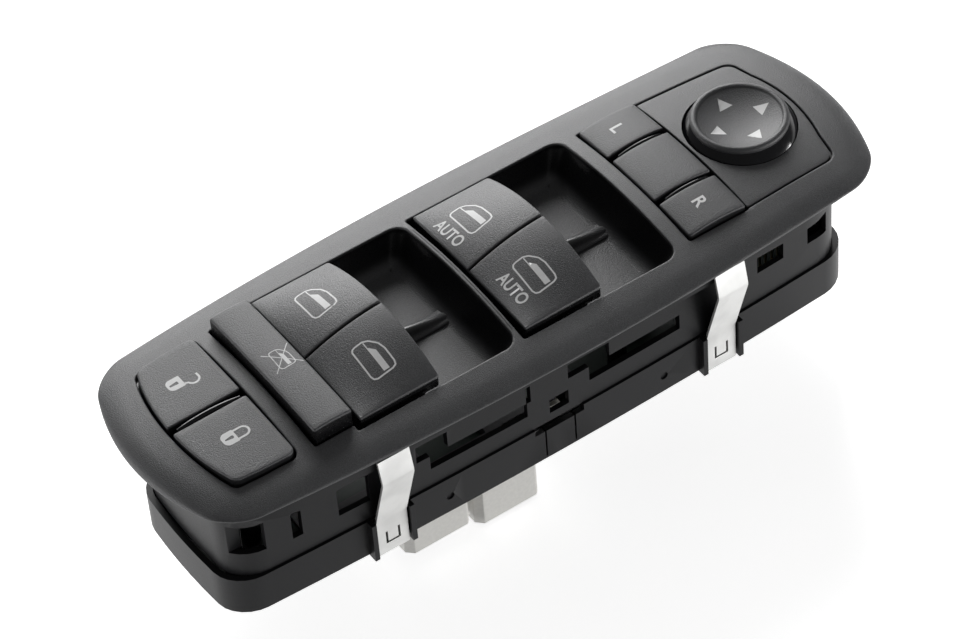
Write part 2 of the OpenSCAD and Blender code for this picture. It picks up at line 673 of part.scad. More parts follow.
// Glossy rounded rib, arched over its length, on a web down to the deck
module divider_rib(x0, x1, y, z, t) {
    half = (x1 - x0) / 2;
    arch = 0.9;
    bend = (half * half + arch * arch) / (2 * arch);
    sweep = asin(half / bend);
    translate([x0 + half, y, z + arch - bend]) rotate([90, 0, 0]) rotate([0, 0, 90 - sweep])
        rotate_extrude(angle = 2 * sweep, $fn = 96) translate([bend, 0]) circle(r = t / 2 - 0.1, $fn = 24);
    span([x0 + 2, y - 0.5, stand], [x1 - 2, y + 0.5, z]);
}

module select_dividers() {
    color("#121214") for (s = [-1, 1]) {
        divider_rib(strip_x0 + 3.4, strip_x1 - 2.4, s * divider_y,
            strip_top(strip_x0, divider_y) - 0.9, divider_t);
    }
}

module lock_divider() {
    color("#121214") divider_rib(lock_x0 + 2.6, lock_x1 - 1.8, 0, crown_h - 2.1, lock_divider_t);
}

// Bent spring strip that grips the trim panel behind the flange
module spring_clip(sx) {
    y = base_w / 2 - case_bow * pow(clip_x / (base_l / 2), 2) + 0.3;
    translate([sx * clip_x, 0, 0]) difference() {
        rotate([90, 0, 90]) translate([0, 0, -clip_w / 2]) linear_extrude(clip_w) polygon([
            [y, floor_z - 1.2], [y + clip_t, floor_z - 1.2], [y + clip_t, -33.9],
            [y + clip_t + clip_bow, -14], [y + clip_t + clip_bow, -12.8],
            [y + clip_t + clip_bow - 1.5, -6.2], [y + clip_bow - 1.45, -6.2],
            [y + clip_bow, -13.2], [y + clip_bow, -13.8], [y, -33.7]]);
        for (e = [-1, 1]) {
            span([e * 1.9 - 0.3, y - 1, floor_z + 2.6], [e * 1.9 + 0.3, y + 3, floor_z + 6.6]);
        }
        span([-2.2, y - 1, floor_z + 2.2], [2.2, y + 3, floor_z + 2.8]);
    }
}

module clip_near_left() {
    color("#c9c9c6") mirror([0, 1, 0]) spring_clip(-1);
}

module clip_near_right() {
    color("#c9c9c6") mirror([0, 1, 0]) spring_clip(1);
}

module clip_far_left() {
    color("#c9c9c6") spring_clip(-1);
}

module clip_far_right() {
    color("#c9c9c6") spring_clip(1);
}

module circuit_board() {
    color("#1f5a37") difference() {
        bowed_plate(base_l - 2 * case_wall - 1, base_w - 2 * case_wall - 1, case_r - case_wall - 0.5,
            case_bow, case_end_bow, board_z - board_t, board_z);
        for (s = [-1, 1]) {
            for (x = screw_stations) {
                translate([x, s * screw_y, board_z - 5]) cylinder(h = 10, r = 1.6);
            }
        }
        pins(main_plug_x, 7, 2.2, main_plug_depth, 0.1);
        pins(mirror_plug_x, 6, 2.5, mirror_plug_depth, 0.1);
    }
}

// Rubber dome of a push key
module dome(x, y) {
    translate([x, y, board_z + 0.02]) cylinder(h = 0.78, r = 4.6);
    translate([x, y, board_z + 0.7]) rotate_extrude() polygon([[0, 0], [4, 0], [3.4, 0.5],
        [2.2, dome_top - board_z - 0.7], [0, dome_top - board_z - 0.7]]);
}

module dome_mat() {
    color("#8c8f92") for (p = stem_stations) {
        for (s = [-1, 1]) {
            dome(p.x, s * p.y);
        }
        span([p.x - 4, -p.y, board_z + 0.02], [p.x + 4, p.y, board_z + 0.8]);
    }
}

module contact_frame() {
    color("#3a3a3d") difference() {
        span([rear_pivot_x - 12.5, -22.4, board_z + 0.02], [front_pivot_x + 14.5, 22.4, board_z + 2.6]);
        for (px = [rear_pivot_x, front_pivot_x]) {
            for (s = [-1, 1]) {
                span([px - 11.2, s * (arm_y + arm_t / 2) - slider_half_y - 0.25, board_z - 1],
                    [px + 11.2, s * (arm_y + arm_t / 2) + slider_half_y + 0.25, board_z + 4]);
            }
        }
        span([rear_pivot_x - 11, -12, board_z - 1], [rear_pivot_x + 11, 12, board_z + 4]);
        span([front_pivot_x - 11, -12, board_z - 1], [front_pivot_x + 11, 12, board_z + 4]);
        span([rear_pivot_x + 16, -15, board_z - 1], [front_pivot_x - 16, 15, board_z + 4]);
    }
}

// Plug shroud: open below, closed by the board above
module plug_shroud(x, count, pitch, mouth) {
    difference() {
        translate([x, plug_y, 0]) linear_extrude(mouth - board_depth - board_t - 0.02) polygon([
            [-plug_l / 2, plug_w / 2], [-plug_l / 2, -plug_w / 2 + 2], [-plug_l / 2 + 2, -plug_w / 2],
            [plug_l / 2 - 1, -plug_w / 2], [plug_l / 2, -plug_w / 2 + 1], [plug_l / 2, plug_w / 2]]);
        span([x - plug_l / 2 + plug_wall, plug_y - plug_w / 2 + plug_wall, -1],
            [x + plug_l / 2 - plug_wall, plug_y + plug_w / 2 - plug_wall,
                mouth - board_depth - board_t - 2]);
        span([x - 2.2, plug_y + plug_w / 2 - plug_wall - 1, -1], [x + 2.2, plug_y + plug_w / 2 + 1, 6]);
        translate([0, 0, mouth]) pins(x, count, pitch, mouth, 0.06);
    }
}

module main_connector() {
    color("#e6e4dc") translate([0, 0, -main_plug_depth])
        plug_shroud(main_plug_x, 7, 2.2, main_plug_depth);
}

module mirror_connector() {
    color("#e6e4dc") translate([0, 0, -mirror_plug_depth])
        plug_shroud(mirror_plug_x, 6, 2.5, mirror_plug_depth);
}

// Two rows of square pins from a plug's cavity through the board
module pins(x, count, pitch, mouth, gap) {
    half = 0.32 + gap;
    for (i = [0:count - 1]) {
        for (s = [-1, 1]) {
            translate([x + (i - (count - 1) / 2) * pitch, plug_y + s * 1.6, 0])
                span([-half, -half, 6.5 - mouth], [half, half, board_z - 0.1 + 10 * gap]);
        }
    }
}

module main_terminals() {
    color("#c8b27a") pins(main_plug_x, 7, 2.2, main_plug_depth, 0);
}

module mirror_terminals() {
    color("#c8b27a") pins(mirror_plug_x, 6, 2.5, mirror_plug_depth, 0);
}

module microcontroller() {
    color("#161617") span([knob_x - 18.2, -6, board_z + 0.1], [knob_x - 4.2, 8, board_z + 1.7]);
}

module indicator_leds() {
    color("#e8e4c8") for (s = [-1, 1]) {
        for (p = [[lock_stem_x - 7, 6], [strip_stem_x + 7, 20]]) {
            span([p.x - 1.5, s * p.y - 1, board_z + 0.05], [p.x + 1.5, s * p.y + 1, board_z + 1.1]);
        }
    }
}

module board_screws() {
    color("#b8b8b4") for (s = [-1, 1]) {
        for (x = screw_stations) {
            translate([x, s * screw_y, board_z - board_t - 1.5]) {
                cylinder(h = 1.4, r = 2.4);
                cylinder(h = 9, r = 1);
            }
        }
    }
}

module mirror_switch_board() {
    color("#1f5a37") translate([knob_x, 0, stand]) cylinder(h = 1.2, r = 9.6);
}

module mirror_dome_pad() {
    color("#8c8f92") translate([knob_x, 0, stand + 1.22]) {
        cylinder(h = 0.5, r = 8.6);
        for (a = [0:90:270]) {
            rotate(a) translate([5.6, 0, 0]) cylinder(h = 0.9, r = 1.5);
        }
    }
}

module mirror_link_pins() {
    color("#c8b27a") for (s = [-1, 1]) {
        for (i = [-2.5:1:2.5]) {
            translate([knob_x + 2 * i, s * 14.6, board_z + 0.1])
                cylinder(h = deck_z - board_z + 0.8, r = 0.35, $fn = 16);
        }
    }
}

module knob_socket() {
    color("#3a3a3d") difference() {
        translate([knob_x, 0, stand]) cylinder(h = tilt_z - stand + 2.6, r = socket_r);
        translate([knob_x, 0, deck_z - 1]) cylinder(h = 20, r = socket_r - socket_wall);
        long_pin(0, tilt_z, knob_x - 20, knob_x + 20, pin_r + run_fit);
    }
}

module gimbal_ring() {
    color("#d0cec6") difference() {
        union() {
            translate([knob_x, 0, tilt_z - 1.9]) cylinder(h = 3.8, r = ring_r);
            long_pin(0, tilt_z, knob_x - socket_r + 0.1, knob_x + socket_r - 0.1, pin_r);
        }
        translate([knob_x, 0, tilt_z - 3]) cylinder(h = 6, r = ring_r - ring_wall);
        cross_pin(knob_x, tilt_z, -20, 20, pin_r + run_fit);
    }
}

module mirror_knob() {
    color("#1b1b1d") difference() {
        union() {
            difference() {
                translate([knob_x, 0, tilt_z]) rotate_extrude($fn = 96) polygon(concat(
                    [for (a = [20:5:45]) [ball_r * cos(a), ball_r * sin(a)]],
                    [for (a = [0:22.5:157.5]) [knob_r - 1.1 + 1.1 * cos(a), 8.2 - tilt_z + 1.1 * sin(a)]],
                    [for (i = [0:8]) [(knob_r - 2.3) * (1 - i / 8), 5.3 - tilt_z + 2 * pow(1 - i / 8, 2)]],
                    [[0, 0.342 * ball_r]]));
                translate([knob_x, 0, tilt_z]) rotate_extrude($fn = 96)
                    polygon([[0, -3], [16.2, -3], [16.2, 7.4], [11.6, 10.2], [9.4, 8.6], [0, 7.6]]);
            }
            translate([knob_x, 0, tilt_z - 3]) cylinder(h = 11.4, r = 5.2);
            translate([knob_x, 0, tilt_z - 4.5]) cylinder(h = 1.6, r = 7.2);
            cross_pin(knob_x, tilt_z, -ring_r + 0.1, ring_r - 0.1, pin_r);
        }
    }
}

module lockout_bar() {
    color("#2f2f32") {
        difference() {
            crown_block(edged(bar_x0, bar_x1, 4, 1.2), edged(-bar_l / 2, bar_l / 2, 8, 1.2),
                function(x, y) bar_h - 0.35 * pow((x - bar_mid_x) / (bar_w / 2), 2)
                - 0.7 * pow(2 * y / bar_l, 2)
                - edge_fall(x, bar_x0, bar_x1, 1, 0.5) - edge_fall(y, -bar_l / 2, bar_l / 2, 1, 0.5), -1);
            span([bar_x0 + key_wall, -bar_l / 2 + key_wall, -2],
                [bar_x1 - key_wall, bar_l / 2 - key_wall, bar_h - 1.4 - key_wall]);
        }
        push_stem(bar_stem_x, bar_stem_y, bar_h - 2.4, bar_travel);
        push_stem(bar_stem_x, -bar_stem_y, bar_h - 2.4, bar_travel);
    }
}

module lockout_spring() {
    color("#b8b8b4") translate([bar_mid_x, 0, 0])
        coil(3.2, 0.35, deck_z + 0.05, bar_h - 1.4 - key_wall - 0.05, 6, 11);
}

// Far lock key; the near one is its mirror
module lock_cap() {
    difference() {
        intersection() {
            lock_outline(key_gap, -2, 12);
            crown_block(edged(lock_x0, lock_x1, 4, 1.4), edged(lock_divider_t / 2 + 0.25, key_y, 5, 1.4),
                function(x, y) crown_h - 0.55 + 0.012 * (x - lock_x0) - 0.0012 * y * y
                - edge_fall(y, 0, key_y - key_gap, 1.6, 0.7), -1);
        }
        span([lock_x0 + 7.4, lock_divider_t / 2 + 0.25 + key_wall, -2],
            [lock_x1 - key_gap - key_wall, key_y - key_gap - key_wall - 1.4, crown_h - 1.3 - key_wall]);
    }
    push_stem(lock_stem_x, lock_stem_y, crown_h - 2.2, key_travel);
}

// Far select key; the near one is its mirror
module select_cap() {
    crowned_cap(strip_x0 + key_gap, strip_x1 - key_gap, divider_y + divider_t / 2 + 0.15,
        key_y - key_gap, -1,
        function(x, y) strip_top(x, y) - edge_fall(x, strip_x0 + key_gap, strip_x1 - key_gap, 1, 0.4)
        - edge_fall(y, 0, key_y - key_gap, 1.4, 0.7), 1.1);
    push_stem(strip_stem_x, strip_stem_y, crown_h - 1.4, key_travel);
}

module unlock_key() {
    color("#2f2f32") lock_cap();
}

module lock_key() {
    color("#2f2f32") mirror([0, 1, 0]) lock_cap();
}

module left_select_key() {
    color("#2f2f32") select_cap();
}

module right_select_key() {
    color("#2f2f32") mirror([0, 1, 0]) select_cap();
}

module rear_far_paddle() {
    color("#343437") paddle(rear_tip_x);
}

module rear_near_paddle() {
    color("#343437") mirror([0, 1, 0]) paddle(rear_tip_x);
}

module front_far_paddle() {
    color("#343437") paddle(front_tip_x);
}

module front_near_paddle() {
    color("#343437") mirror([0, 1, 0]) paddle(front_tip_x);
}

module rear_far_detent_pin() {
    color("#d9d6c8") detent_pin(rear_tip_x);
}

module rear_near_detent_pin() {
    color("#d9d6c8") mirror([0, 1, 0]) detent_pin(rear_tip_x);
}

module front_far_detent_pin() {
    color("#d9d6c8") detent_pin(front_tip_x);
}

module front_near_detent_pin() {
    color("#d9d6c8") mirror([0, 1, 0]) detent_pin(front_tip_x);
}

module rear_far_detent_spring() {
    color("#b8b8b4") detent_spring(rear_tip_x);
}

module rear_near_detent_spring() {
    color("#b8b8b4") mirror([0, 1, 0]) detent_spring(rear_tip_x);
}

module front_far_detent_spring() {
    color("#b8b8b4") detent_spring(front_tip_x);
}

module front_near_detent_spring() {
    color("#b8b8b4") mirror([0, 1, 0]) detent_spring(front_tip_x);
}

module rear_far_slider() {
    color("#d9d6c8") slider(rear_tip_x);
}

module rear_near_slider() {
    color("#d9d6c8") mirror([0, 1, 0]) slider(rear_tip_x);
}

module front_far_slider() {
    color("#d9d6c8") slider(front_tip_x);
}

module front_near_slider() {
    color("#d9d6c8") mirror([0, 1, 0]) slider(front_tip_x);
}

module rear_far_wiper() {
    color("#b87a4a") wiper(rear_tip_x);
}

module rear_near_wiper() {
    color("#b87a4a") mirror([0, 1, 0]) wiper(rear_tip_x);
}

module front_far_wiper() {
    color("#b87a4a") wiper(front_tip_x);
}

module front_near_wiper() {
    color("#b87a4a") mirror([0, 1, 0]) wiper(front_tip_x);
}

bezel();
mirror_panel();
housing();
base_cover();
centre_cap();
select_dividers();
lock_divider();
clip_near_left();
clip_near_right();
clip_far_left();
clip_far_right();
circuit_board();
dome_mat();
contact_frame();
main_connector();
mirror_connector();
main_terminals();
mirror_terminals();
microcontroller();
indicator_leds();
board_screws();
mirror_switch_board();
mirror_dome_pad();
mirror_link_pins();
knob_socket();
rear_far_paddle();
rear_near_paddle();
front_far_paddle();
front_near_paddle();
rear_far_detent_pin();
rear_near_detent_pin();
front_far_detent_pin();
front_near_detent_pin();
rear_far_detent_spring();
rear_near_detent_spring();
front_far_detent_spring();
front_near_detent_spring();
rear_far_slider();
rear_near_slider();
front_far_slider();
front_near_slider();
rear_far_wiper();
rear_near_wiper();
front_far_wiper();
front_near_wiper();
unlock_key();
lock_key();
left_select_key();
right_select_key();
lockout_bar();
lockout_spring();
gimbal_ring();
mirror_knob();
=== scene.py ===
# %% [markdown]
# A driver's door switch panel: a crowned black bezel with two scooped finger wells, four
# rocking window paddles, push keys and a mirror knob. The CAD frame comes first, because
# every surface below takes its size and place from it.

# %% Load the frame
import json
import math

import bmesh
import bpy
import numpy as np
from mathutils import Matrix, Vector
from mathutils.geometry import delaunay_2d_cdt


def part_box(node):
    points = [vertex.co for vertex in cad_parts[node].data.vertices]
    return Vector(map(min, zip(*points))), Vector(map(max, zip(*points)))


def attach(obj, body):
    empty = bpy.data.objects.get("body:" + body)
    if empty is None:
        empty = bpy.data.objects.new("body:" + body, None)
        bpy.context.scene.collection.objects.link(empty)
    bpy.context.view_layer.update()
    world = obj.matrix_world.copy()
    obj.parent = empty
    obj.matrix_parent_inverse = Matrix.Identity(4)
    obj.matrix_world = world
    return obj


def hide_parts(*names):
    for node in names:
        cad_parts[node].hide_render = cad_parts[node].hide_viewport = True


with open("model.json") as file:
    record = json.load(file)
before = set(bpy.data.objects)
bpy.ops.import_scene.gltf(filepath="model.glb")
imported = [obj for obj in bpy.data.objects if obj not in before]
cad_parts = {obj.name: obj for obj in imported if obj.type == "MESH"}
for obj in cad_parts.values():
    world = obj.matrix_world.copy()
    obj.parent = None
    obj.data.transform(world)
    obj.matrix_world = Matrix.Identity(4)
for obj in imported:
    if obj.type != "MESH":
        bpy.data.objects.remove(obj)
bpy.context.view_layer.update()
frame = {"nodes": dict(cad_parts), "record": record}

MM = 0.001

# %% [markdown]
# All sizes here are in millimetres, and a piece is turned into metres as its mesh is
# made. The boxes of the CAD nodes give the driving sizes, so a look never drifts from
# the solid that carries it.

# %% Sizes from the frame


def box_mm(node):
    """Lowest and highest corner of a CAD node, in millimetres."""
    lo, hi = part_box(node)
    return np.array(lo) / MM, np.array(hi) / MM


bezel_lo, bezel_hi = box_mm("bezel")
HALF_L = 110.0
HALF_W = 37.7
FAR_EXTRA = 0.6
FAR_FILL = 0.45
LENGTH_FIT = bezel_hi[0] / HALF_L
LIP = 0.3
ROLL = 6.0
WELL_FLOOR = -6.0
REAR_TIP = box_mm("rear_far_paddle")[1][0]
FRONT_TIP = box_mm("front_far_paddle")[1][0]
REAR_END = REAR_TIP + 23.3
FRONT_END = FRONT_TIP + 23.7
LOCK_X0 = box_mm("unlock_key")[0][0] - 0.5
LOCK_X1 = box_mm("unlock_key")[1][0] + 0.5
BAR_X0, BAR_X1 = box_mm("lockout_bar")[0][0], box_mm("lockout_bar")[1][0]
STRIP_X0 = box_mm("centre_cap")[0][0] - 0.5
STRIP_X1 = box_mm("centre_cap")[1][0] + 0.5
PANEL_X1 = box_mm("mirror_panel")[1][0] + 0.5
KNOB_LO, KNOB_HI = box_mm("mirror_knob")
KNOB_X = (KNOB_LO[0] + KNOB_HI[0]) / 2
TILT_Z = -4.4
BALL_R = 17.9
print("bezel box:", bezel_lo.round(2), bezel_hi.round(2))
print("tips:", round(REAR_TIP, 2), round(FRONT_TIP, 2), "knob:", round(KNOB_X, 2))

# %% [markdown]
# The tops are height functions. The bezel is a shallow arch over its width whose ends
# fall away with the sixth power of the length, so the middle stays nearly straight.
# Each paddle rises towards its tip and its split line, like a quarter of a cushion.

# %% Height functions


def crown(x, y):
    """Bezel height: 6.5 less 0.0036 y squared, less 3.2 times the sixth power of x over the half length."""
    return 6.5 - 0.0036 * y**2 - 3.2 * (np.abs(x) / HALF_L) ** 6


def paddle_top(tip):
    """Height of a paddle: a parabola over its length times one less the square of y over its half width."""

    def top(x, y):
        s = (x - (tip - 24.0)) / 24.0
        return 5.5 + 6.2 * (0.097 + 1.677 * s - 0.774 * s * s) * (1 - (y / 25.6) ** 2)

    return top


def bar_top(x, y):
    """Height of the lockout bar: flat, a little round over its width and its length."""
    return 10 - 0.35 * ((x + 65.1) / 5.7) ** 2 - 0.7 * (2 * y / 49) ** 2


def lock_top(x, y):
    """Height of the lock keys: rises towards the paddles and falls to the sides."""
    return 5.95 + 0.012 * (x + 98.6) - 0.0012 * y**2


def strip_top(x, y):
    """Height of the select strip: arched over its width, lower at the far ends."""
    return 7.4 - 0.0022 * y**2 - ((x - 54.5) / 9.6) ** 2


# %% [markdown]
# Every moulded edge starts as an outline: a few corners, some of them rounded, sampled
# at an even step. An inset moves each point along its own normal, so that all the rings
# of one piece have the same number of points and can be joined into a grid.

# %% Outlines


def rounded(corners, radii, step=0.8):
    """Closed outline through the corners, each one cut by an arc of its radius, then sampled at an even step."""
    pts = np.array(corners, float)
    n = len(pts)
    stretches = []
    for i in range(n):
        here, back, ahead = pts[i], pts[i - 1], pts[(i + 1) % n]
        to_back = (back - here) / np.linalg.norm(back - here)
        to_ahead = (ahead - here) / np.linalg.norm(ahead - here)
        turn = math.acos(np.clip(np.dot(to_back, to_ahead), -1, 1))
        if radii[i] <= 0 or turn > 3.1:
            stretches.append(here[None])
            continue
        run = radii[i] / math.tan(turn / 2)
        mid = to_back + to_ahead
        centre = here + mid / np.linalg.norm(mid) * radii[i] / math.sin(turn / 2)
        a, b = here + to_back * run - centre, here + to_ahead * run - centre
        t = np.linspace(0, 1, 9)[:, None]
        sweep = math.pi - turn
        stretches.append(centre + (np.sin((1 - t) * sweep) * a + np.sin(t * sweep) * b) / math.sin(sweep))
    path = np.concatenate(stretches)
    path = np.vstack([path, path[:1]])
    along = np.concatenate([[0], np.cumsum(np.linalg.norm(np.diff(path, axis=0), axis=1))])
    keep = np.concatenate([[True], np.diff(along) > 1e-6])
    path, along = path[keep], along[keep]
    places = [np.linspace(a, b, max(1, int(round((b - a) / step))), endpoint=False) for a, b in zip(along[:-1], along[1:])]
    places = np.concatenate(places)
    return np.stack([np.interp(places, along, path[:, 0]), np.interp(places, along, path[:, 1])], 1)


def normals_of(path):
    """Inward normals of a counter-clockwise outline, each the mean of its two edges' normals."""
    edge = np.roll(path, -1, 0) - path
    edge = edge / np.linalg.norm(edge, axis=1)[:, None]
    side = np.stack([-edge[:, 1], edge[:, 0]], 1)
    mean = side + np.roll(side, 1, 0)
    length = np.linalg.norm(mean, axis=1)[:, None]
    mean = mean / length
    return mean / np.clip(np.sum(mean * side, 1)[:, None], 0.6, 1)


def inset(path, d):
    """Outline moved inward by d along its normals, outward where d is negative."""
    return path + normals_of(path) * d


def bezel_ring(d, n_end=40, n_corner=14, n_side=150):
    """Bezel outline at an inset d: a rounded rectangle bowed by the square of the place, fuller at its far front."""
    a, b = HALF_L - d, max(HALF_W - d, 0.4)
    r = min(max(9 - d, 1.5 + 0.02 * b), 0.9 * b)
    t = np.linspace(-1, 1, n_end, endpoint=False)
    s = np.linspace(1, -1, n_side, endpoint=False)
    q = np.linspace(0, math.pi / 2, n_corner, endpoint=False)
    right = np.stack([np.full(n_end, a), t * (b - r)], 1)
    first = np.stack([a - r + r * np.cos(q), b - r + r * np.sin(q)], 1)
    top = np.stack([s * (a - r), np.full(n_side, b)], 1)
    second = np.stack([r - a - r * np.sin(q), b - r + r * np.cos(q)], 1)
    half = np.concatenate([right, first, top, second])
    path = np.concatenate([half, -half])
    far = path[:, 1] > 0
    fill = np.where(far, 1 - FAR_FILL * np.maximum(path[:, 0] / a, 0), 1)
    x = path[:, 0] * (1 - 9.0 / a * (path[:, 1] / b) ** 2) * LENGTH_FIT
    y = path[:, 1] * (1 - 5.0 / HALF_W * fill * (path[:, 0] / a) ** 2) * np.where(far, 1 + FAR_EXTRA / HALF_W, 1)
    return np.stack([x, y], 1)


# %% [markdown]
# A mesh is gathered in a small builder: grids of rings, and flat regions cut into
# triangles between their contours. The region is lifted afterwards by a height
# function, so its seams with the rings are exact.

# %% Mesh builder


class Shape:
    """Collects points and faces in millimetres, then makes one mesh object."""

    def __init__(self):
        self.points = []
        self.faces = []
        self.count = 0

    def add(self, points, faces):
        """Adds an array of points and faces that count from its first point."""
        self.points.append(np.asarray(points, float))
        self.faces.extend((np.asarray(faces) + self.count).tolist())
        self.count += len(points)

    def rings(self, rings, closed=True):
        """Joins rings of equal length by quads: point j of ring i meets point j + 1 and ring i + 1."""
        rings = np.asarray(rings, float)
        k, n = rings.shape[:2]
        i, j = np.meshgrid(np.arange(k - 1), np.arange(n if closed else n - 1), indexing="ij")
        i, j = i.ravel(), j.ravel()
        m = (j + 1) % n
        self.add(rings.reshape(-1, 3), np.stack([i * n + j, i * n + m, (i + 1) * n + m, (i + 1) * n + j], 1))

    def region(self, outer, holes, height, step=2.2, up=True):
        """Fills the flat space between an outline and its holes with triangles, lifted to a height function."""
        loops = [outer] + holes
        x = np.arange(outer[:, 0].min(), outer[:, 0].max(), step)
        y = np.arange(outer[:, 1].min(), outer[:, 1].max(), step)
        gx, gy = np.meshgrid(x, y)
        grid = np.stack([gx.ravel() + 0.37, gy.ravel() + 0.11], 1)
        inside = within(grid, outer)
        for h in holes:
            inside &= ~within(grid, h)
        every = np.concatenate(loops)
        fill = grid[inside]
        gaps = (fill[:, None, 0] - every[None, :, 0]) ** 2 + (fill[:, None, 1] - every[None, :, 1]) ** 2
        fill = fill[gaps.min(1) > (0.6 * step) ** 2]
        starts = np.cumsum([0] + [len(h) for h in loops])
        edges = np.concatenate([np.stack([s + np.arange(len(h)), s + (np.arange(len(h)) + 1) % len(h)], 1)
                                for s, h in zip(starts, loops)])
        flat = np.concatenate([every, fill])
        out = delaunay_2d_cdt([Vector(p) for p in flat], edges.tolist(), [], 0, 1e-7)
        pts = np.array(out[0])
        tri = np.array(out[2])
        centre = pts[tri].mean(1)
        keep = within(centre, outer)
        for h in holes:
            keep &= ~within(centre, h)
        tri = tri[keep]
        if not up:
            tri = tri[:, ::-1]
        self.add(np.column_stack([pts, height(pts[:, 0], pts[:, 1])]), tri)

    def make(self, name, weld=0.002, sharp=None):
        """Makes the object, welds its seams, turns its faces outward and shades it smooth."""
        mesh = bpy.data.meshes.new(name)
        mesh.from_pydata((np.concatenate(self.points) * MM).tolist(), [], self.faces)
        work = bmesh.new()
        work.from_mesh(mesh)
        bmesh.ops.remove_doubles(work, verts=work.verts, dist=weld * MM)
        bmesh.ops.dissolve_degenerate(work, edges=work.edges, dist=weld * MM)
        work.to_mesh(mesh)
        work.free()
        mesh.shade_smooth()
        if sharp is not None:
            mesh.set_sharp_from_angle(angle=math.radians(sharp))
        piece = bpy.data.objects.new(name, mesh)
        bpy.context.scene.collection.objects.link(piece)
        return piece


def within(pts, loop):
    """Whether each point lies inside a closed outline, by counting the edges that a ray to the right crosses."""
    a, b = loop, np.roll(loop, -1, 0)
    x, y = pts[:, 0][:, None], pts[:, 1][:, None]
    spans = (a[:, 1] > y) != (b[:, 1] > y)
    rise = np.where(b[:, 1] == a[:, 1], 1e-12, b[:, 1] - a[:, 1])
    cross = a[:, 0] + (y - a[:, 1]) * (b[:, 0] - a[:, 0]) / rise
    return np.sum(spans & (x < cross), 1) % 2 == 1


def lifted(path, z):
    """Outline with a height for each point, or one for all."""
    return np.column_stack([path, np.broadcast_to(z, len(path))])


# %% [markdown]
# Shader maths reads like arithmetic here. A thin class wraps a socket, and each operator
# adds the Math node that does it. Every other node comes from one method.

# %% Shader helpers


class Socket:
    """A node's output that can be added to, multiplied and subtracted like a number."""

    def __init__(self, tree, link):
        self.tree = tree
        self.link = link

    def math(self, operation, a, b, clamp=False):
        """One Math node on two values or sockets."""
        node = self.tree.nodes.new("ShaderNodeMath")
        node.operation = operation
        node.use_clamp = clamp
        for place, value in zip(node.inputs, (a, b)):
            if isinstance(value, Socket):
                self.tree.links.new(value.link, place)
            else:
                place.default_value = value
        return Socket(self.tree, node.outputs[0])

    def __add__(self, other):
        return self.math("ADD", self, other)

    __radd__ = __add__

    def __mul__(self, other):
        return self.math("MULTIPLY", self, other)

    __rmul__ = __mul__

    def __sub__(self, other):
        return self.math("SUBTRACT", self, other)

    def __rsub__(self, other):
        return self.math("SUBTRACT", other, self)

    def step(self, low, high):
        """Runs from 0 at low to 1 at high, and stays there outside."""
        return self.math("MULTIPLY", self - low, 1.0 / (high - low), clamp=True)


COLOUR_A, COLOUR_B, COLOUR_OUT = 6, 7, 2


class Finish:
    """A material whose nodes are added by name."""

    def __init__(self, name):
        self.material = bpy.data.materials.new(name)
        self.material.use_nodes = True
        self.tree = self.material.node_tree
        self.shader = next(n for n in self.tree.nodes if n.type == "BSDF_PRINCIPLED")
        self.place = self.node("ShaderNodeTexCoord", out="Object")

    def node(self, kind, settings=None, out=0, values=None, **inputs):
        """Adds a node, sets its settings, then links or sets its inputs, named or by number."""
        node = self.tree.nodes.new(kind)
        for key, value in (settings or {}).items():
            setattr(node, key, value)
        named = {key.replace("_", " "): value for key, value in inputs.items()}
        for key, value in {**(values or {}), **named}.items():
            socket = node.inputs[key]
            if isinstance(value, Socket):
                self.tree.links.new(value.link, socket)
            else:
                socket.default_value = value
        return Socket(self.tree, node.outputs[out])

    def noise(self, scale, detail=2.0, rough=0.5):
        """Noise of that many lumps a metre, from 0 to 1."""
        return self.node("ShaderNodeTexNoise", Vector=self.place, Scale=scale, Detail=detail, Roughness=rough)

    def blend(self, mask, a, b):
        """Colour a where the mask is 0, colour b where it is 1."""
        a, b = (v if isinstance(v, Socket) else (*v, 1.0) for v in (a, b))
        return self.node("ShaderNodeMix", {"data_type": "RGBA"}, out=COLOUR_OUT,
                         values={0: mask, COLOUR_A: a, COLOUR_B: b})

    def bump(self, height, depth, strength=1.0):
        """Raises the surface by a height from 0 to 1 times the depth in metres."""
        lift = self.node("ShaderNodeBump", Height=height, Distance=depth, Strength=strength, out="Normal")
        self.tree.links.new(lift.link, self.shader.inputs["Normal"])

    def set(self, **values):
        """Links or sets the shader's own sockets."""
        for key, value in values.items():
            socket = self.shader.inputs[key.replace("_", " ")]
            if isinstance(value, Socket):
                self.tree.links.new(value.link, socket)
            elif socket.type == "RGBA":
                socket.default_value = (*value, 1.0)
            else:
                socket.default_value = value
        return self


# %% [markdown]
# The visible plastics are black mouldings with a fine spark-eroded grain. The grain
# scatters light, so it shows as a mid grey sheen with tiny specks. Smooth walls between the keys
# and in the wells have no grain and are painted nearly black, partly their finish and partly painted shade in the gaps,
# which draws the dark lines.

# %% Plastic finishes


# The wall colour is the near-black paint of walls below the lips: a smooth finish, and painted shade in the gaps and
# wells.
def grained(name, dark, pale, rough, grain=3400.0, depth=0.00013, wall=(0.006, 0.006, 0.0065)):
    """Grained plastic: two greys mixed by noise, roughness that follows it, and walls painted near black by attribute,
    partly a smooth finish and partly painted shade.
    """
    f = Finish(name)
    fine = f.noise(grain, 3.0, 0.6)
    broad = f.noise(60.0, 2.0)
    colour = f.blend((fine * 0.75 + broad * 0.25).step(0.35, 0.65), dark, pale)
    wall_shade_mask = f.node("ShaderNodeAttribute", {"attribute_name": "wall"}, out="Fac")
    # Where the wall attribute is 1 the colour turns near black: smooth walls, and painted shade in the gaps and wells.
    colour = f.blend(wall_shade_mask, colour, wall)
    f.set(Base_Color=colour, Roughness=(fine * 0.16 + (rough - 0.08)) - wall_shade_mask * 0.18)
    f.bump(fine * (1 - wall_shade_mask), depth, 1.0)
    return f.material


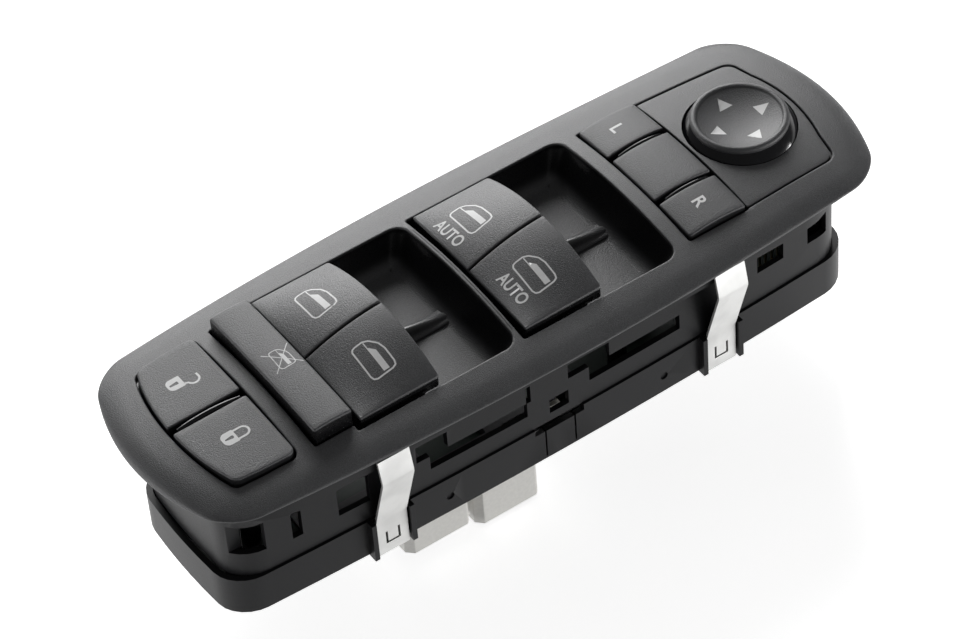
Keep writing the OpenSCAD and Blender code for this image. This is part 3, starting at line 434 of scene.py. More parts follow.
def plain_plastic(name, colour, rough, grain=900.0, depth=0.00002, spread=0.12, sheen=0.5):
    """Moulded plastic without a grain: a little colour drift and very soft flow marks."""
    f = Finish(name)
    drift = f.noise(grain, 2.0)
    low = tuple(c * (1 - spread) for c in colour)
    high = tuple(min(1, c * (1 + spread)) for c in colour)
    f.set(Base_Color=f.blend(drift.step(0.3, 0.7), low, high), Roughness=drift * 0.12 + (rough - 0.06),
          Specular_IOR_Level=sheen)
    f.bump(drift, depth, 0.4)
    return f.material


def metal(name, colour, rough, grain=3000.0):
    """Drawn or plated metal: fine streaky noise in roughness."""
    f = Finish(name)
    streak = f.noise(grain, 2.0)
    dull = f.noise(120.0, 2.0)
    low = tuple(c * 0.86 for c in colour)
    f.set(Base_Color=f.blend(dull.step(0.35, 0.65), low, colour), Metallic=1.0,
          Roughness=streak * 0.16 + (rough - 0.08))
    f.bump(streak, 0.00001, 0.4)
    return f.material


SHELL = grained("bezel grain", (0.036, 0.036, 0.038), (0.066, 0.067, 0.07), 0.47)
KEYS = grained("key grain", (0.036, 0.036, 0.038), (0.058, 0.059, 0.062), 0.46, 2800.0)
PADDLES = grained("paddle grain", (0.034, 0.034, 0.036), (0.056, 0.057, 0.06), 0.44, 2800.0)
CASE = plain_plastic("case black", (0.009, 0.009, 0.01), 0.42, grain=2600.0, depth=0.00006, sheen=0.2)
DARK = plain_plastic("dark moulding", (0.05, 0.05, 0.055), 0.5)
GLOSS = plain_plastic("gloss black", (0.004, 0.004, 0.005), 0.13, sheen=0.3)
PLUG = plain_plastic("natural white", (0.74, 0.73, 0.70), 0.45, spread=0.04)
NYLON = plain_plastic("natural nylon", (0.74, 0.72, 0.65), 0.45, spread=0.04)
RUBBER = plain_plastic("silicone grey", (0.45, 0.46, 0.47), 0.6, spread=0.05)
# The board's lacquer is darkened towards black: painted shade for the inside of the housing seen through its windows.
SHADED_BOARD = plain_plastic("board lacquer painted shade", (0.012, 0.03, 0.02), 0.4)
CHIP = plain_plastic("chip black", (0.015, 0.015, 0.017), 0.5)
LED = plain_plastic("lamp body", (0.78, 0.76, 0.62), 0.4)
LEGEND = plain_plastic("legend white", (0.62, 0.62, 0.62), 0.5, spread=0.04)
CLIP = metal("clip zinc", (0.72, 0.72, 0.71), 0.5)
BRASS = metal("contact plate", (0.72, 0.58, 0.35), 0.35)
STEEL = metal("spring steel", (0.55, 0.55, 0.55), 0.3)
print("finishes:", len(bpy.data.materials))


def dress(piece, material, body, slot, *nodes):
    """Gives a piece its finish and its body, and hides the nodes that it stands for. The slot is not used."""
    piece.data.materials.clear()
    piece.data.materials.append(material)
    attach(piece, body)
    if nodes:
        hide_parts(*nodes)
    print(piece.name, "points", len(piece.data.vertices), "faces", len(piece.data.polygons))
    return piece


def mark_walls_and_shade(piece, below):
    """Writes the wall attribute: 1 on points that lie lower than the function says, else 0. The finish paints those
    points near black, as a smooth wall and as painted shade.
    """
    n = len(piece.data.vertices)
    co = np.zeros(n * 3)
    piece.data.vertices.foreach_get("co", co)
    co = co.reshape(-1, 3) / MM
    value = below(co[:, 0], co[:, 1], co[:, 2]).astype(np.float32)
    piece.data.attributes.new("wall", "FLOAT", "POINT").data.foreach_set("value", value)


# %% [markdown]
# The bezel is one skin. Rings roll over its rim, a triangulated region covers the crown
# between the openings, and each opening has its own lip and walls. A scooped well is a
# tray: its walls lean in towards the floor and meet it in a fillet.

# %% Bezel skin
EDGE = 0.45


def mirrored(points):
    """Half an outline from the middle outward on the near side, completed by its mirror image on the far side."""
    points = np.asarray(points, float)
    return np.vstack([points, points[::-1] * [1, -1]])


def lock_shape(gap):
    """Outline of both lock keys: bowed end, corners of 3 mm behind and 2.2 mm in front."""
    t = np.linspace(0.04, 0.8, 8)
    left = np.stack([LOCK_X0 + gap + 4.2 * t**2, -t * (25.2 - gap - 1.6 * t)], 1)
    side = [[LOCK_X0 + gap + 4.3, gap - 24.0], [LOCK_X0 + 12, gap - 24.75], [LOCK_X1 - gap, gap - 25.2]]
    return rounded(mirrored(np.vstack([left, side])), [0] * 8 + [2.6, 0, 2.2, 2.2, 0, 2.6] + [0] * 8)


def panel_end(gap):
    """Front end of the mirror panel: a long bow that meets the sides in corners of 4 mm."""
    t = np.linspace(0.8, 0.07, 7)
    return np.vstack([[[PANEL_X1 - 8 - gap, gap - 23.6], [PANEL_X1 - gap - 3.4, gap - 23.2]],
                      np.stack([PANEL_X1 - gap - 3.4 * t**2, -18.6 * t], 1)])


lock_hole = rounded(lock_shape(0), [0] * len(lock_shape(0)))
bar_hole = rounded(mirrored([[BAR_X0 - 0.5, -25], [BAR_X1 - 0.2, -25], [BAR_X1 - 0.2, -27], [REAR_END, -27]]),
                   [0.7, 0.5, 0.5, 4.0, 4.0, 0.5, 0.5, 0.7])
front_hole = rounded(mirrored([[FRONT_TIP - 25.5, -27], [FRONT_END, -27]]), [0.7, 4.0, 4.0, 0.7])
strip_hole = rounded(
    mirrored(np.vstack([[[STRIP_X0, -25.2], [STRIP_X1 + 0.1, -25.2], [STRIP_X1 + 0.1, -24.9]], panel_end(0)])),
    [0.7] + [0] * 3 + [3.6] + [0] * 14 + [3.6] + [0] * 3 + [0.7])


def lip(hole, depth):
    """Rings from the crown over a small round edge and down a wall, for a hole that runs counter-clockwise."""
    rings = [lifted(inset(hole, -EDGE - 0.4), 0)]
    for a in np.linspace(0, math.pi / 2, 5):
        rings.append(lifted(inset(hole, -EDGE * (1 - math.sin(a))), -EDGE * (1 - math.cos(a))))
    rings.append(lifted(hole, -EDGE - 0.5))
    rings.append(lifted(hole, -depth))
    for r in rings:
        r[:, 2] += crown(r[:, 0], r[:, 1])
    return rings


def well_rings(hole, tip, end):
    """Lip of a well, then leaning walls: each ring keeps its points and moves them towards the floor's outline."""
    rings = lip(hole, EDGE + 0.6)
    start = rings[-1]
    floor = hole.copy()
    share = np.clip((hole[:, 0] - (tip - 0.5)) / 4.0, 0, 1)
    right = np.clip((hole[:, 0] - (end - 14)) / 14, 0, 1)
    floor[:, 0] = hole[:, 0] - 4.8 * right**2
    floor[:, 1] = hole[:, 1] * (1 - share * (1 - 24.2 / 27.0))
    drop = start[:, 2] - WELL_FLOOR
    for k in np.linspace(0.08, 1, 12):
        lean = k ** 1.0
        pull = lean if k < 0.75 else 0.75 + (k - 0.75) * 1.0
        flat = hole + (floor - hole) * pull
        rings.append(lifted(flat, start[:, 2] - drop * k))
    fillet = 2.2
    rings = [r for r in rings if np.mean(r[:, 2]) > WELL_FLOOR + fillet * 0.8]
    last = rings[-1]
    for a in np.linspace(0.2, 1, 6) * math.pi / 2:
        z = last[:, 2] + (WELL_FLOOR - last[:, 2]) * math.sin(a)
        rings.append(lifted(inset(last[:, :2] + (floor - last[:, :2]) * math.sin(a), fillet * (1 - math.cos(a))), z))
    return rings


def well_floor(shape, ring, tip):
    """Floor of a well: the last wall ring in front of the tip, closed by a straight edge and filled."""
    flat = ring[:, :2]
    ahead = np.nonzero(flat[:, 0] > tip - 4.2)[0]
    start = ahead[np.argmin(flat[ahead, 1] + 0.01 * flat[ahead, 0])]
    chain = np.roll(flat, -start, 0)
    chain = chain[chain[:, 0] > tip - 4.2]
    back = rounded(np.vstack([[tip - 4.2, chain[-1, 1]], [tip - 4.2, chain[0, 1]], chain[0]]), [0, 0, 0], 1.5)
    back = back[back[:, 0] < tip - 4.1]
    shape.region(np.vstack([chain, back]), [], lambda x, y: 0 * x + WELL_FLOOR, 2.0)


skin = Shape()
rim = []
for d in [2.2, 1.1, 0.25, 0.0]:
    rim.append(lifted(bezel_ring(d), 0.0 if d else 0.12))
for d in [0.0, 0.03, 0.1, 0.22, 0.4, 0.65, 1.0, 1.4, 1.9, 2.5, 3.2, 4.0, 5.0, 6.0]:
    ring = bezel_ring(d)
    share = math.sqrt(max(0, 1 - (1 - d / ROLL) ** 2))
    rim.append(lifted(ring, LIP + (crown(ring[:, 0], ring[:, 1]) - LIP) * share))
under = []
for d in [10.0, 8.0, 6.5, 5.0, 4.0, 3.2, 2.6, 2.2]:
    ring = bezel_ring(d)
    share = math.sqrt(max(0, 1 - (1 - max(d - 2.2, 0) / ROLL) ** 2)) if d < 8.2 else 1
    under.append(lifted(ring, np.maximum(LIP + (crown(ring[:, 0], ring[:, 1]) - LIP) * share - 2.2, -0.0) if d > 2.3 else 0.0))
skin.rings(under + rim)
holes = [lock_hole, bar_hole, front_hole, strip_hole]
skin.region(bezel_ring(ROLL), [inset(h, -EDGE - 0.4) for h in holes], crown)


def fin(shape, end):
    """Ridge on a well's floor: a bell-shaped section whose height rises to the paddles, 3.2 mm at most."""
    y = np.array([-2.6, -1.7, -1.1, -0.75, -0.6, -0.42, -0.2, 0.2, 0.42, 0.6, 0.75, 1.1, 1.7, 2.6])
    rise = np.array([-0.1, 0.05, 0.22, 0.55, 0.85, 0.97, 1, 1, 0.97, 0.85, 0.55, 0.22, 0.05, -0.1])
    rows = []
    for x, h in ((end - 4.4, 0.05), (end - 4.8, 0.4), (end - 9, 1.3), (end - 14, 2.3), (end - 18.6, 3.2), (end - 27, 3.2)):
        rows.append(np.column_stack([np.full(14, x), y, WELL_FLOOR + h * rise]))
    shape.rings(rows[::-1], closed=False)


fin(skin, REAR_END)
fin(skin, FRONT_END)
skin.rings(lip(lock_hole, 6.0))
skin.rings(lip(strip_hole, 6.0))
for hole, tip, end in ((bar_hole, REAR_TIP, REAR_END), (front_hole, FRONT_TIP, FRONT_END)):
    rings = well_rings(hole, tip, end)
    skin.rings(rings)
    well_floor(skin, rings[-1], tip)
bezel_skin = skin.make("bezel_skin")


def bezel_walls_and_well_shade(x, y, z):
    """Walls below the lips are painted near black, partly a smooth finish and partly painted shade in the gaps; in the
    wells this painted shade fades and the grain comes back towards the floor.
    """
    deep = np.clip((crown(x, y) - z - 0.45) / 0.4, 0, 1)
    well = ((x > REAR_TIP - 4) & (x < REAR_END + 1)) | ((x > FRONT_TIP - 4) & (x < FRONT_END + 1))
    rim_part = (np.abs(y) > 27.6) | (np.abs(x) > 99.5)
    fade = np.clip((z - WELL_FLOOR - 0.4) / 3.0, 0, 1)
    return np.where(rim_part, 0.0, np.where(well, deep * fade, deep))


mark_walls_and_shade(bezel_skin, bezel_walls_and_well_shade)
wall = bezel_skin.modifiers.new("thickness", "SOLIDIFY")
wall.thickness = 0.7 * MM
wall.offset = -1.0
dress(bezel_skin, SHELL, "case", "bezel", "bezel")

# %% [markdown]
# A key is a cap: an outline, a height function for its top and a rounded edge. Rings
# shrink from the edge to the middle, so the crown is smooth and the edge stays crisp.

# %% Caps


def cap_rings(outline, top, edge, foot, steps=5):
    """Rings of a cap from its foot up the wall and over a quarter-round edge."""
    rings = [lifted(outline, foot)]
    z_edge = top(outline[:, 0], outline[:, 1])
    rings.append(lifted(outline, z_edge - edge - 0.3))
    for a in np.linspace(0, math.pi / 2, steps):
        flat = inset(outline, edge * (1 - math.cos(a)))
        rings.append(lifted(flat, top(flat[:, 0], flat[:, 1]) - edge * (1 - math.sin(a))))
    return rings


def close_cap(shape, rings, top, step=1.3):
    """Joins the rings of a cap and fills its top with triangles that follow the height function."""
    shape.rings(rings)
    shape.region(rings[-1][:, :2], [], top, step)


def finish_cap(shape, name, top, wall):
    """Makes a cap, marks its walls below the top's edge to be painted near black, a smooth wall and painted shade in
    the gap, and gives it a thickness inward.
    """
    piece = shape.make(name)
    mark_walls_and_shade(piece, lambda x, y, z: np.clip((top(x, y) - z - 0.45) / 0.3, 0, 1))
    shell = piece.modifiers.new("thickness", "SOLIDIFY")
    shell.thickness = wall * MM
    shell.offset = -1.0
    return piece


def key_cap(name, outline, top, foot, edge=0.4, wall=1.2):
    """Cap of a key as a shell with its wall inward."""
    shape = Shape()
    close_cap(shape, cap_rings(outline, top, edge, foot), top)
    return finish_cap(shape, name, top, wall)


def inner_part(node, name, keep, material, body, slot, roof=3.0):
    """Copy of a CAD node's inner triangles, those whose corners all pass the test and don't all lie above a height."""
    mesh = frame["nodes"][node].data
    mesh.calc_loop_triangles()
    co = np.zeros(len(mesh.vertices) * 3)
    mesh.vertices.foreach_get("co", co)
    co = co.reshape(-1, 3) / MM
    tri = np.zeros(len(mesh.loop_triangles) * 3, int)
    mesh.loop_triangles.foreach_get("vertices", tri)
    tri = tri.reshape(-1, 3)
    good = keep(co[:, 0], co[:, 1], co[:, 2])
    tri = tri[good[tri].all(1) & (co[tri, 2].min(1) < roof)]
    used, tri = np.unique(tri, return_inverse=True)
    shape = Shape()
    shape.add(co[used], tri.reshape(-1, 3))
    piece = shape.make(name, sharp=35)
    return dress(piece, material, body, slot, node)


def flipped(outline):
    """The same outline on the near side, still counter-clockwise."""
    return (outline * [1, -1])[::-1]


for side, name in ((1, "unlock"), (-1, "lock")):
    t = np.linspace(0.8, 0.12, 8)
    left = np.stack([LOCK_X0 + 0.5 + 4.2 * t**2, t * (24.7 - 1.6 * t)], 1)
    outline = rounded(np.vstack([[[LOCK_X1 - 0.5, 1.25], [LOCK_X1 - 0.5, 24.7], [LOCK_X0 + 12, 24.25],
                                  [LOCK_X0 + 4.8, 23.5]], left, [[LOCK_X0 + 0.52, 1.25]]]),
                      [0.8, 2.2, 0, 2.6] + [0] * 8 + [0.5])
    outline = outline if side > 0 else flipped(outline)
    piece = key_cap(f"{name}_key_cap", outline, lock_top, -1.0)
    dress(piece, KEYS, f"{name}_body", "keys", f"{name}_key")
    inner_part(f"{name}_key", f"{name}_key_stem", lambda x, y, z: np.hypot(x + 86.4, np.abs(y) - 12.5) < 2.6,
               CASE, f"{name}_body", "keys")

for side, name in ((1, "left_select"), (-1, "right_select")):
    x0, x1 = STRIP_X0 + 0.5, STRIP_X1 - 0.5
    outline = rounded([[x0, 11.25], [x1, 11.25], [x1, 24.7], [x0, 24.7]], [0.5, 0.5, 0.7, 1.0])
    outline = outline if side > 0 else flipped(outline)
    dress(key_cap(f"{name}_key_cap", outline, strip_top, -1.0), KEYS, f"{name}_body", "keys", f"{name}_key")
    inner_part(f"{name}_key", f"{name}_key_stem", lambda x, y, z: np.hypot(x - 54.5, np.abs(y) - 17.6) < 2.6,
               CASE, f"{name}_body", "keys")

outline = rounded([[x0, -9.35], [x1, -9.35], [x1, 9.35], [x0, 9.35]], [0.5] * 4)
dress(key_cap("centre_cap_skin", outline, strip_top, 3.0), KEYS, "case", "keys", "centre_cap")
inner_part("centre_cap", "centre_cap_webs", lambda x, y, z: (np.abs(x - 54.5) < 6.1) & (np.abs(np.abs(y) - 6) < 1.1),
           CASE, "case", "keys")
outline = rounded([[BAR_X0, -24.5], [BAR_X1, -24.5], [BAR_X1, 24.5], [BAR_X0, 24.5]], [0.6] * 4)
dress(key_cap("lockout_bar_skin", outline, bar_top, -1.0, 0.5, 1.0), KEYS, "lockout_body", "keys", "lockout_bar")
inner_part("lockout_bar", "lockout_bar_stems", lambda x, y, z: np.hypot(x + 67.4, np.abs(y) - 15) < 2.6,
           CASE, "lockout_body", "keys")

# %% Paddle caps
for well, tip in (("rear", REAR_TIP), ("front", FRONT_TIP)):
    top = paddle_top(tip)
    for side, label in ((1, "far"), (-1, "near")):
        outline = rounded([[tip - 24, 0.3], [tip, 0.3], [tip, 25.5], [tip - 24, 25.5]], [0.3, 0.5, 0.9, 0.4])
        outline = outline if side > 0 else flipped(outline)
        rings = cap_rings(outline, top, 0.45, -2.5)
        cut = rings[1].copy()
        cut[:, 2] = np.where(cut[:, 0] > tip - 5, top(cut[:, 0], cut[:, 1]) - 3.4, cut[:, 2] - 2.0)
        back = cut.copy()
        back[:, 0] = np.minimum(back[:, 0], tip - 4.6)
        foot = rings[0].copy()
        foot[:, 0] = np.minimum(foot[:, 0], tip - 4.6)
        shape = Shape()
        close_cap(shape, [foot, back, cut] + rings[1:], top)
        name = f"{well}_{label}_paddle"
        dress(finish_cap(shape, f"{name}_cap", top, 1.0), PADDLES, f"{name}_body", "keys", name)
        inner_part(name, f"{name}_lever", lambda x, y, z: (np.abs(x - tip + 16) < 4.2) & (np.abs(y) < 23.6),
                   DARK, f"{name}_body", "keys")

# %% [markdown]
# The mirror panel follows the bezel's crown, and the knob stands in its round hole. The
# knob is turned: a polished ball zone below, and a grained rim and dish on top.

# %% Mirror panel and knob
panel_outline = rounded(
    mirrored(np.vstack([[[STRIP_X1 + 0.15, -24.4]], panel_end(0.5)])),
    [0.5, 0, 3.4] + [0] * 14 + [3.4, 0, 0.5])


def panel_top(x, y):
    """Height of the mirror panel, just below the bezel's crown."""
    return crown(x, y) - 0.08


a = np.linspace(0, 2 * math.pi, 96, endpoint=False)
round_hole = np.column_stack([KNOB_X + 15.5 * np.cos(a), 15.5 * np.sin(a)])
panel = Shape()
rings = cap_rings(panel_outline, panel_top, 0.3, 1.0)
panel.rings(rings)
panel.region(rings[-1][:, :2], [round_hole], panel_top, 1.6)
panel.rings([lifted(round_hole, panel_top(round_hole[:, 0], round_hole[:, 1]) - d) for d in (0.0, 0.25, 2.0)])
panel_skin = panel.make("mirror_panel_skin", sharp=50)
# The panel's side walls and the wall of its round hole are painted near black: smooth walls and painted shade in the
# gap round the knob.
mark_walls_and_shade(panel_skin, lambda x, y, z: np.clip((panel_top(x, y) - z - 0.4) / 0.3, 0, 1))
dress(panel_skin, SHELL, "case", "bezel", "mirror_panel")
inner_part("mirror_panel", "mirror_panel_legs",
           lambda x, y, z: np.hypot(np.abs(x - KNOB_X + 1.75) - 10.95, np.abs(y) - 18.6) < 1.7, CASE, "case", "bezel")


def turned(name, profile, n=144):
    """Surface of revolution about the knob's axis: each profile point is a radius and a height."""
    profile = np.asarray(profile, float)
    angle = np.linspace(0, 2 * math.pi, n, endpoint=False)
    rings = [np.column_stack([KNOB_X + r * np.cos(angle), r * np.sin(angle), np.full(n, z)]) for r, z in profile]
    shape = Shape()
    shape.rings(rings)
    return shape.make(name)


q = np.radians(np.linspace(20, 44.5, 14))
skirt = np.stack([BALL_R * np.cos(q), TILT_Z + BALL_R * np.sin(q)], 1)
skirt = np.vstack([[[15.6, 1.9]], skirt, [[12.95, 8.0]]])
dress(turned("knob_skirt", skirt), GLOSS, "knob_body", "knob", "mirror_knob")
rim_turn = np.radians(np.linspace(-30, 150, 12))
rim_profile = np.stack([12.25 + 1.1 * np.cos(rim_turn), 8.15 + 1.1 * np.sin(rim_turn)], 1)
r = np.linspace(1, 0, 16)


def dish_z(r):
    """Height of the knob's dish at a radius: a shallow bowl with a steeper edge."""
    return 6.85 + 1.85 * (np.abs(r) / 11.3) ** 2.2


dish = np.stack([11.2 * r, dish_z(11.2 * r)], 1)
dress(turned("knob_dish", np.vstack([rim_profile, dish])), KEYS, "knob_body", "knob", "mirror_knob")
inner_part("mirror_knob", "knob_post", lambda x, y, z: (np.hypot(x - KNOB_X, y) < 10.2) & (z < 4.5), CASE,
           "knob_body", "knob")

# %% [markdown]
# The legends are printed: thin white shapes that lie on the key tops and ride with them.
# They are drawn flat, as outlines and strokes, then lifted onto the same height function.

# %% Legends
INK = 0.03


def printed(name, shapes, top, body):
    """White print on a key: closed outlines with their holes, filled and lifted onto the key's top."""
    work = Shape()
    for outer, holes in shapes:
        outer = rounded(outer, [0] * len(outer), 0.5)
        work.region(outer, [np.asarray(h) for h in holes], lambda x, y: top(x, y) + INK, 0.9)
    return dress(work.make(name), LEGEND, body, "keys")


def band(points, radii, width, step=0.35):
    """Closed stroke: an outline offset by half the width to each side."""
    path = rounded(points, radii, step)
    return inset(path, -width / 2), [inset(path, width / 2)]


def stroke(points, width):
    """Open stroke: a polyline offset by half its width to each side."""
    pts = np.asarray(points, float)
    d = np.gradient(pts, axis=0)
    n = np.stack([-d[:, 1], d[:, 0]], 1) / np.linalg.norm(d, axis=1)[:, None] * width / 2
    loop = np.vstack([pts - n, (pts + n)[::-1]])
    return loop, []


def arc(cx, cy, rx, ry, start, end, n=14):
    """Points on an ellipse between two angles in degrees."""
    a = np.radians(np.linspace(start, end, n))
    return np.stack([cx + rx * np.cos(a), cy + ry * np.sin(a)], 1)


def door_icon(cx, cy, k=1.0, width=0.45):
    """Car door with its window half down, seen from the side: outline, belt line and the pane's lower part."""
    outline = np.array([[3.75, 0.6], [3.75, -3.6], [3.4, -4.7], [2.3, -5.15], [-2.5, -5.5], [-3.4, -5.1], [-3.75, -4.1],
                        [-3.5, 4.6], [-3.0, 5.3], [-2.1, 5.5], [0.1, 5.5], [1.5, 4.8], [3.2, 2.7]]) * k + [cx, cy]
    radii = np.array([1.2, 0.5, 0.4, 0.6, 0.4, 0.4, 0.5, 0.4, 0.4, 0.4, 0.6, 1.2, 1.2]) * k
    order = outline[::-1] if signed_area(outline) < 0 else outline
    radii = radii[::-1] if signed_area(outline) < 0 else radii
    belt = np.array([[0.1, 5.1], [0.1, -4.6]]) * k + [cx, cy]
    pane = np.array([[0.4, 3.1], [1.7, 1.5], [1.7, -4.6], [0.1, -4.6], [0.1, 3.1]]) * k + [cx, cy]
    pane = pane[::-1] if signed_area(pane) < 0 else pane
    return [band(order, radii, width), stroke(belt, width * 0.7), (pane, [])]


def signed_area(loop):
    """Area of an outline, positive when it runs counter-clockwise."""
    x, y = loop[:, 0], loop[:, 1]
    return 0.5 * np.sum(x * np.roll(y, -1) - np.roll(x, -1) * y)


def lettering(name, text, x, y, height, length, top, body):
    """Letters that read towards the near side with their tops to the front, fitted to a height and a length."""
    curve = bpy.data.curves.new(name, "FONT")
    curve.body = text
    curve.offset = 0.022
    source = bpy.data.objects.new(name, curve)
    bpy.context.scene.collection.objects.link(source)
    bpy.context.view_layer.update()
    mesh = bpy.data.meshes.new_from_object(source)
    bpy.data.objects.remove(source)
    co = np.zeros(len(mesh.vertices) * 3)
    mesh.vertices.foreach_get("co", co)
    co = co.reshape(-1, 3)[:, :2]
    co = (co - co.min(0)) / (co.max(0) - co.min(0)) * [length, height]
    flat = np.stack([x + co[:, 1], y - co[:, 0]], 1)
    lifted_co = np.column_stack([flat, top(flat[:, 0], flat[:, 1]) + INK + 0.02])
    mesh.vertices.foreach_set("co", (lifted_co * MM).ravel())
    mesh.update()
    piece = bpy.data.objects.new(name, mesh)
    bpy.context.scene.collection.objects.link(piece)
    return dress(piece, LEGEND, body, "keys")


rear_top, front_top = paddle_top(REAR_TIP), paddle_top(FRONT_TIP)
printed("rear_far_window_sign", door_icon(-45.7, 12.8), rear_top, "rear_far_paddle_body")
printed("rear_near_window_sign", door_icon(-45.1, -13.0), rear_top, "rear_near_paddle_body")
printed("front_far_window_sign", door_icon(3.2, 13.6), front_top, "front_far_paddle_body")
printed("front_near_window_sign", door_icon(4.4, -13.3), front_top, "front_near_paddle_body")
lettering("front_far_auto", "AUTO", -5.6, 18.9, 3.5, 10.8, front_top, "front_far_paddle_body")
lettering("front_near_auto", "AUTO", -4.4, -8.0, 3.6, 10.8, front_top, "front_near_paddle_body")
lettering("left_mirror_letter", "L", 51.8, 19.6, 3.9, 2.5, strip_top, "left_select_body")
lettering("right_mirror_letter", "R", 52.3, -15.9, 3.9, 3.0, strip_top, "right_select_body")
cross = [stroke([[-67.9, 4.3], [-60.0, -3.5]], 0.24), stroke([[-67.9, -3.5], [-60.0, 4.3]], 0.24)]
printed("lockout_sign", door_icon(-63.9, 0.4, 0.62, 0.26) + cross, bar_top, "lockout_body")

body_path = rounded([[-90.8, 11.0], [-86.4, 11.0], [-86.4, 15.1], [-90.8, 15.1]], [1.6, 0.3, 0.3, 1.6], 0.3)
key_slot = rounded([[-90.1, 12.7], [-87.6, 12.5], [-87.6, 13.6], [-90.1, 13.3]], [0.2] * 4, 0.2)
shackle = stroke(np.vstack([[[-86.6, 11.7]], arc(-83.9, 11.9, 1.7, 1.7, 200, 350), [[-82.3, 13.0]]]), 0.6)
printed("unlock_sign", [(body_path, [key_slot]), shackle], lock_top, "unlock_body")
body_path = rounded([[-89.6, -13.3], [-85.6, -13.3], [-85.6, -9.0], [-89.6, -9.0]], [1.6, 0.3, 0.3, 1.6], 0.3)
key_slot = rounded([[-88.8, -11.4], [-86.3, -11.8], [-86.3, -10.6], [-88.8, -11.0]], [0.1, 0.4, 0.4, 0.1], 0.2)
shackle = stroke(np.vstack([[[-85.7, -12.7]], arc(-83.6, -11.15, 1.7, 1.55, -90, 90), [[-85.7, -9.6]]]), 0.6)
printed("lock_sign", [(body_path, [key_slot]), shackle], lock_top, "lock_body")
arrow = np.array([[9.7, 0], [5.9, 2.1], [5.9, -2.1]])
arrows = []
for quarter in range(4):
    c, w = math.cos(quarter * math.pi / 2), math.sin(quarter * math.pi / 2)
    arrows.append((arrow @ np.array([[c, w], [-w, c]]) + [KNOB_X, 0], []))
printed("mirror_arrows", arrows, lambda x, y: dish_z(np.hypot(x - KNOB_X, y)), "knob_body")

# %% [markdown]
# The mouldings and pressings that can be seen from outside get a copy of their CAD mesh
# with merged points, smooth curves and a small bevel, which catches light on the edges.

# %% Softened copies


def softened(node, material, body, slot, edge=0.22, segments=2):
    """Copy of a CAD node: points merged, flat faces joined, sharp edges rounded by a bevel."""
    mesh = frame["nodes"][node].data.copy()
    work = bmesh.new()
    work.from_mesh(mesh)
    bmesh.ops.remove_doubles(work, verts=work.verts, dist=0.004 * MM)
    bmesh.ops.dissolve_limit(work, angle_limit=math.radians(0.4), verts=work.verts, edges=work.edges)
    work.to_mesh(mesh)
    work.free()
    mesh.shade_smooth()
    mesh.set_sharp_from_angle(angle=math.radians(32))
    piece = bpy.data.objects.new(f"{node}_moulding", mesh)
    bpy.context.scene.collection.objects.link(piece)
    bevel = piece.modifiers.new("edges", "BEVEL")
    bevel.width = edge * MM
    bevel.segments = segments
    bevel.limit_method = "ANGLE"
    bevel.angle_limit = math.radians(40)
    bevel.harden_normals = True
    return dress(piece, material, body, slot, node)


for node in ("housing", "base_cover"):
    softened(node, CASE, "case", "case", 0.18, 1)
for node in ("clip_near_left", "clip_near_right", "clip_far_left", "clip_far_right"):
    softened(node, CLIP, "case", "clip_steel", 0.12)
for node in ("main_connector", "mirror_connector"):
    softened(node, PLUG, "case", "plug_plastic", 0.25)
for node in ("select_dividers", "lock_divider"):
    softened(node, GLOSS, "case", "gloss_trim", 0.25, 3)

# %% [markdown]
# The other nodes keep their CAD shape and get a finish each. A CAD mesh is left alone.

# %% Finishes of the CAD nodes
finishes = {
    "case": CASE, "board": SHADED_BOARD, "silicone": RUBBER, "dark_moulding": DARK, "plug_plastic": PLUG,
    "contact_metal": BRASS, "chip": CHIP, "led_body": LED, "spring_steel": STEEL, "natural_nylon": NYLON,
    "clip_steel": CLIP, "gloss_trim": GLOSS, "keys": CASE, "knob": CASE, "bezel": CASE,
}
slot_of = {s["node"]: s["material_slot"] for s in frame["record"]["subparts"]}
for node, piece in frame["nodes"].items():
    piece.data.materials.clear()
    piece.data.materials.append(finishes[slot_of[node]])
print("dressed nodes:", len(frame["nodes"]))

# %% [markdown]
# The camera stands where the photograph's did, found by matching known points. A long
# lens keeps the panel nearly free of perspective. The floor is white, and the lamps are
# soft and plain, with the brightest part of the room behind the panel.

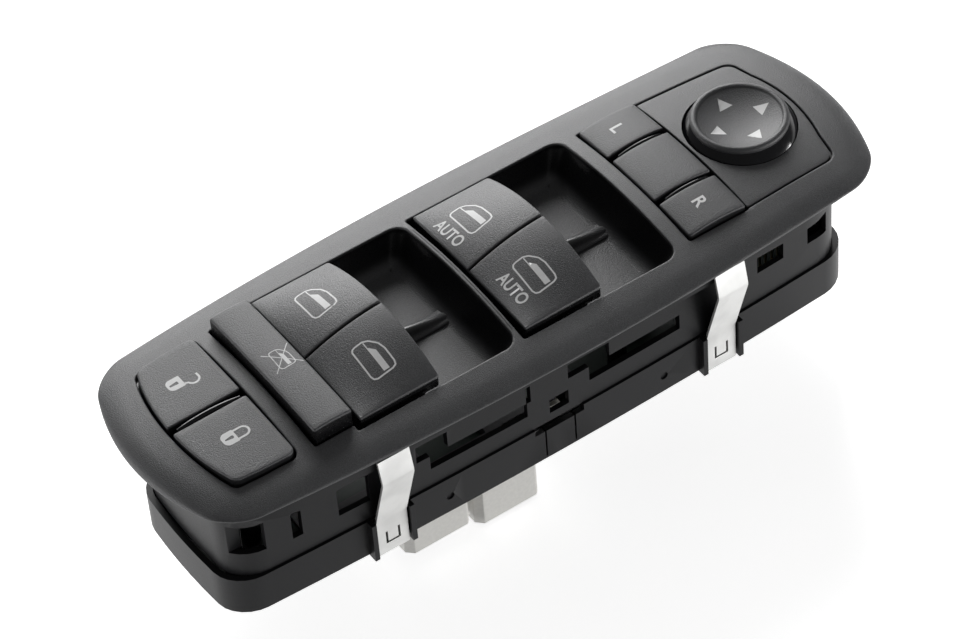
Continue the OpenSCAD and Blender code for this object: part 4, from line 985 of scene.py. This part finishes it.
# %% Camera, floor and light
AZ, EL, ROLL_CAM = (math.radians(v) for v in (-31.335, 46.13, -4.891))
back = Vector((math.sin(AZ) * math.cos(EL), -math.cos(AZ) * math.cos(EL), math.sin(EL)))
right = Vector((0, 0, 1)).cross(back).normalized()
above = back.cross(right)
side_axis = right * math.cos(ROLL_CAM) + above * math.sin(ROLL_CAM)
up_axis = above * math.cos(ROLL_CAM) - right * math.sin(ROLL_CAM)
aim = Vector((-11.91, -11.263, 0)) * MM
camera_data = bpy.data.cameras.new("camera")
camera_data.lens = 36 * 4093.2 / 960
camera_data.sensor_width = 36
camera_data.clip_end = 20
camera = bpy.data.objects.new("camera", camera_data)
bpy.context.scene.collection.objects.link(camera)
turn = Matrix((side_axis, up_axis, back)).transposed().to_4x4()
camera.matrix_world = Matrix.Translation(aim + back * 1.04994) @ turn
bpy.context.scene.camera = camera

bpy.ops.mesh.primitive_plane_add(size=6, location=(0, 0, -0.062))
floor = bpy.context.object
floor.name = "floor"
f = Finish("white floor")
seen = sum(f.node("ShaderNodeLightPath", out=f"Is {kind} Ray") for kind in ("Camera", "Glossy", "Transmission"))
f.set(Base_Color=(0.9, 0.9, 0.9), Roughness=0.8, Emission_Strength=0.75,
      Emission_Color=f.blend(seen.step(0, 1), (0, 0, 0), (1, 1, 1)))
floor.data.materials.append(f.material)

world = bpy.data.worlds.new("studio")
bpy.context.scene.world = world
world.use_nodes = True
sky = world.node_tree.nodes["Background"]
sky.inputs["Color"].default_value = (1, 1, 1, 1)
sky.inputs["Strength"].default_value = 0.2


def lamp(name, place, aim_at, size, power, high=None):
    """Soft lamp at a place, turned to face a point: square, or a strip of its own height."""
    data = bpy.data.lights.new(name, "AREA")
    data.shape = "RECTANGLE"
    data.size = size
    data.size_y = high or size
    data.energy = power
    obj = bpy.data.objects.new(name, data)
    bpy.context.scene.collection.objects.link(obj)
    obj.location = place
    obj.rotation_euler = (Vector(aim_at) - Vector(place)).to_track_quat("-Z", "Y").to_euler()
    return obj


lamp("back_softbox", (0.45, 1.15, 0.62), (0, 0, 0), 0.9, 25)
lamp("near_fill", (0.95, -1.0, 0.0), (0, 0, -0.02), 1.1, 12, 0.1)
lamp("left_fill", (-1.3, 0.45, 0.02), (0, 0, -0.02), 0.6, 7, 0.12)
scene = bpy.context.scene
scene.view_settings.view_transform = "Standard"
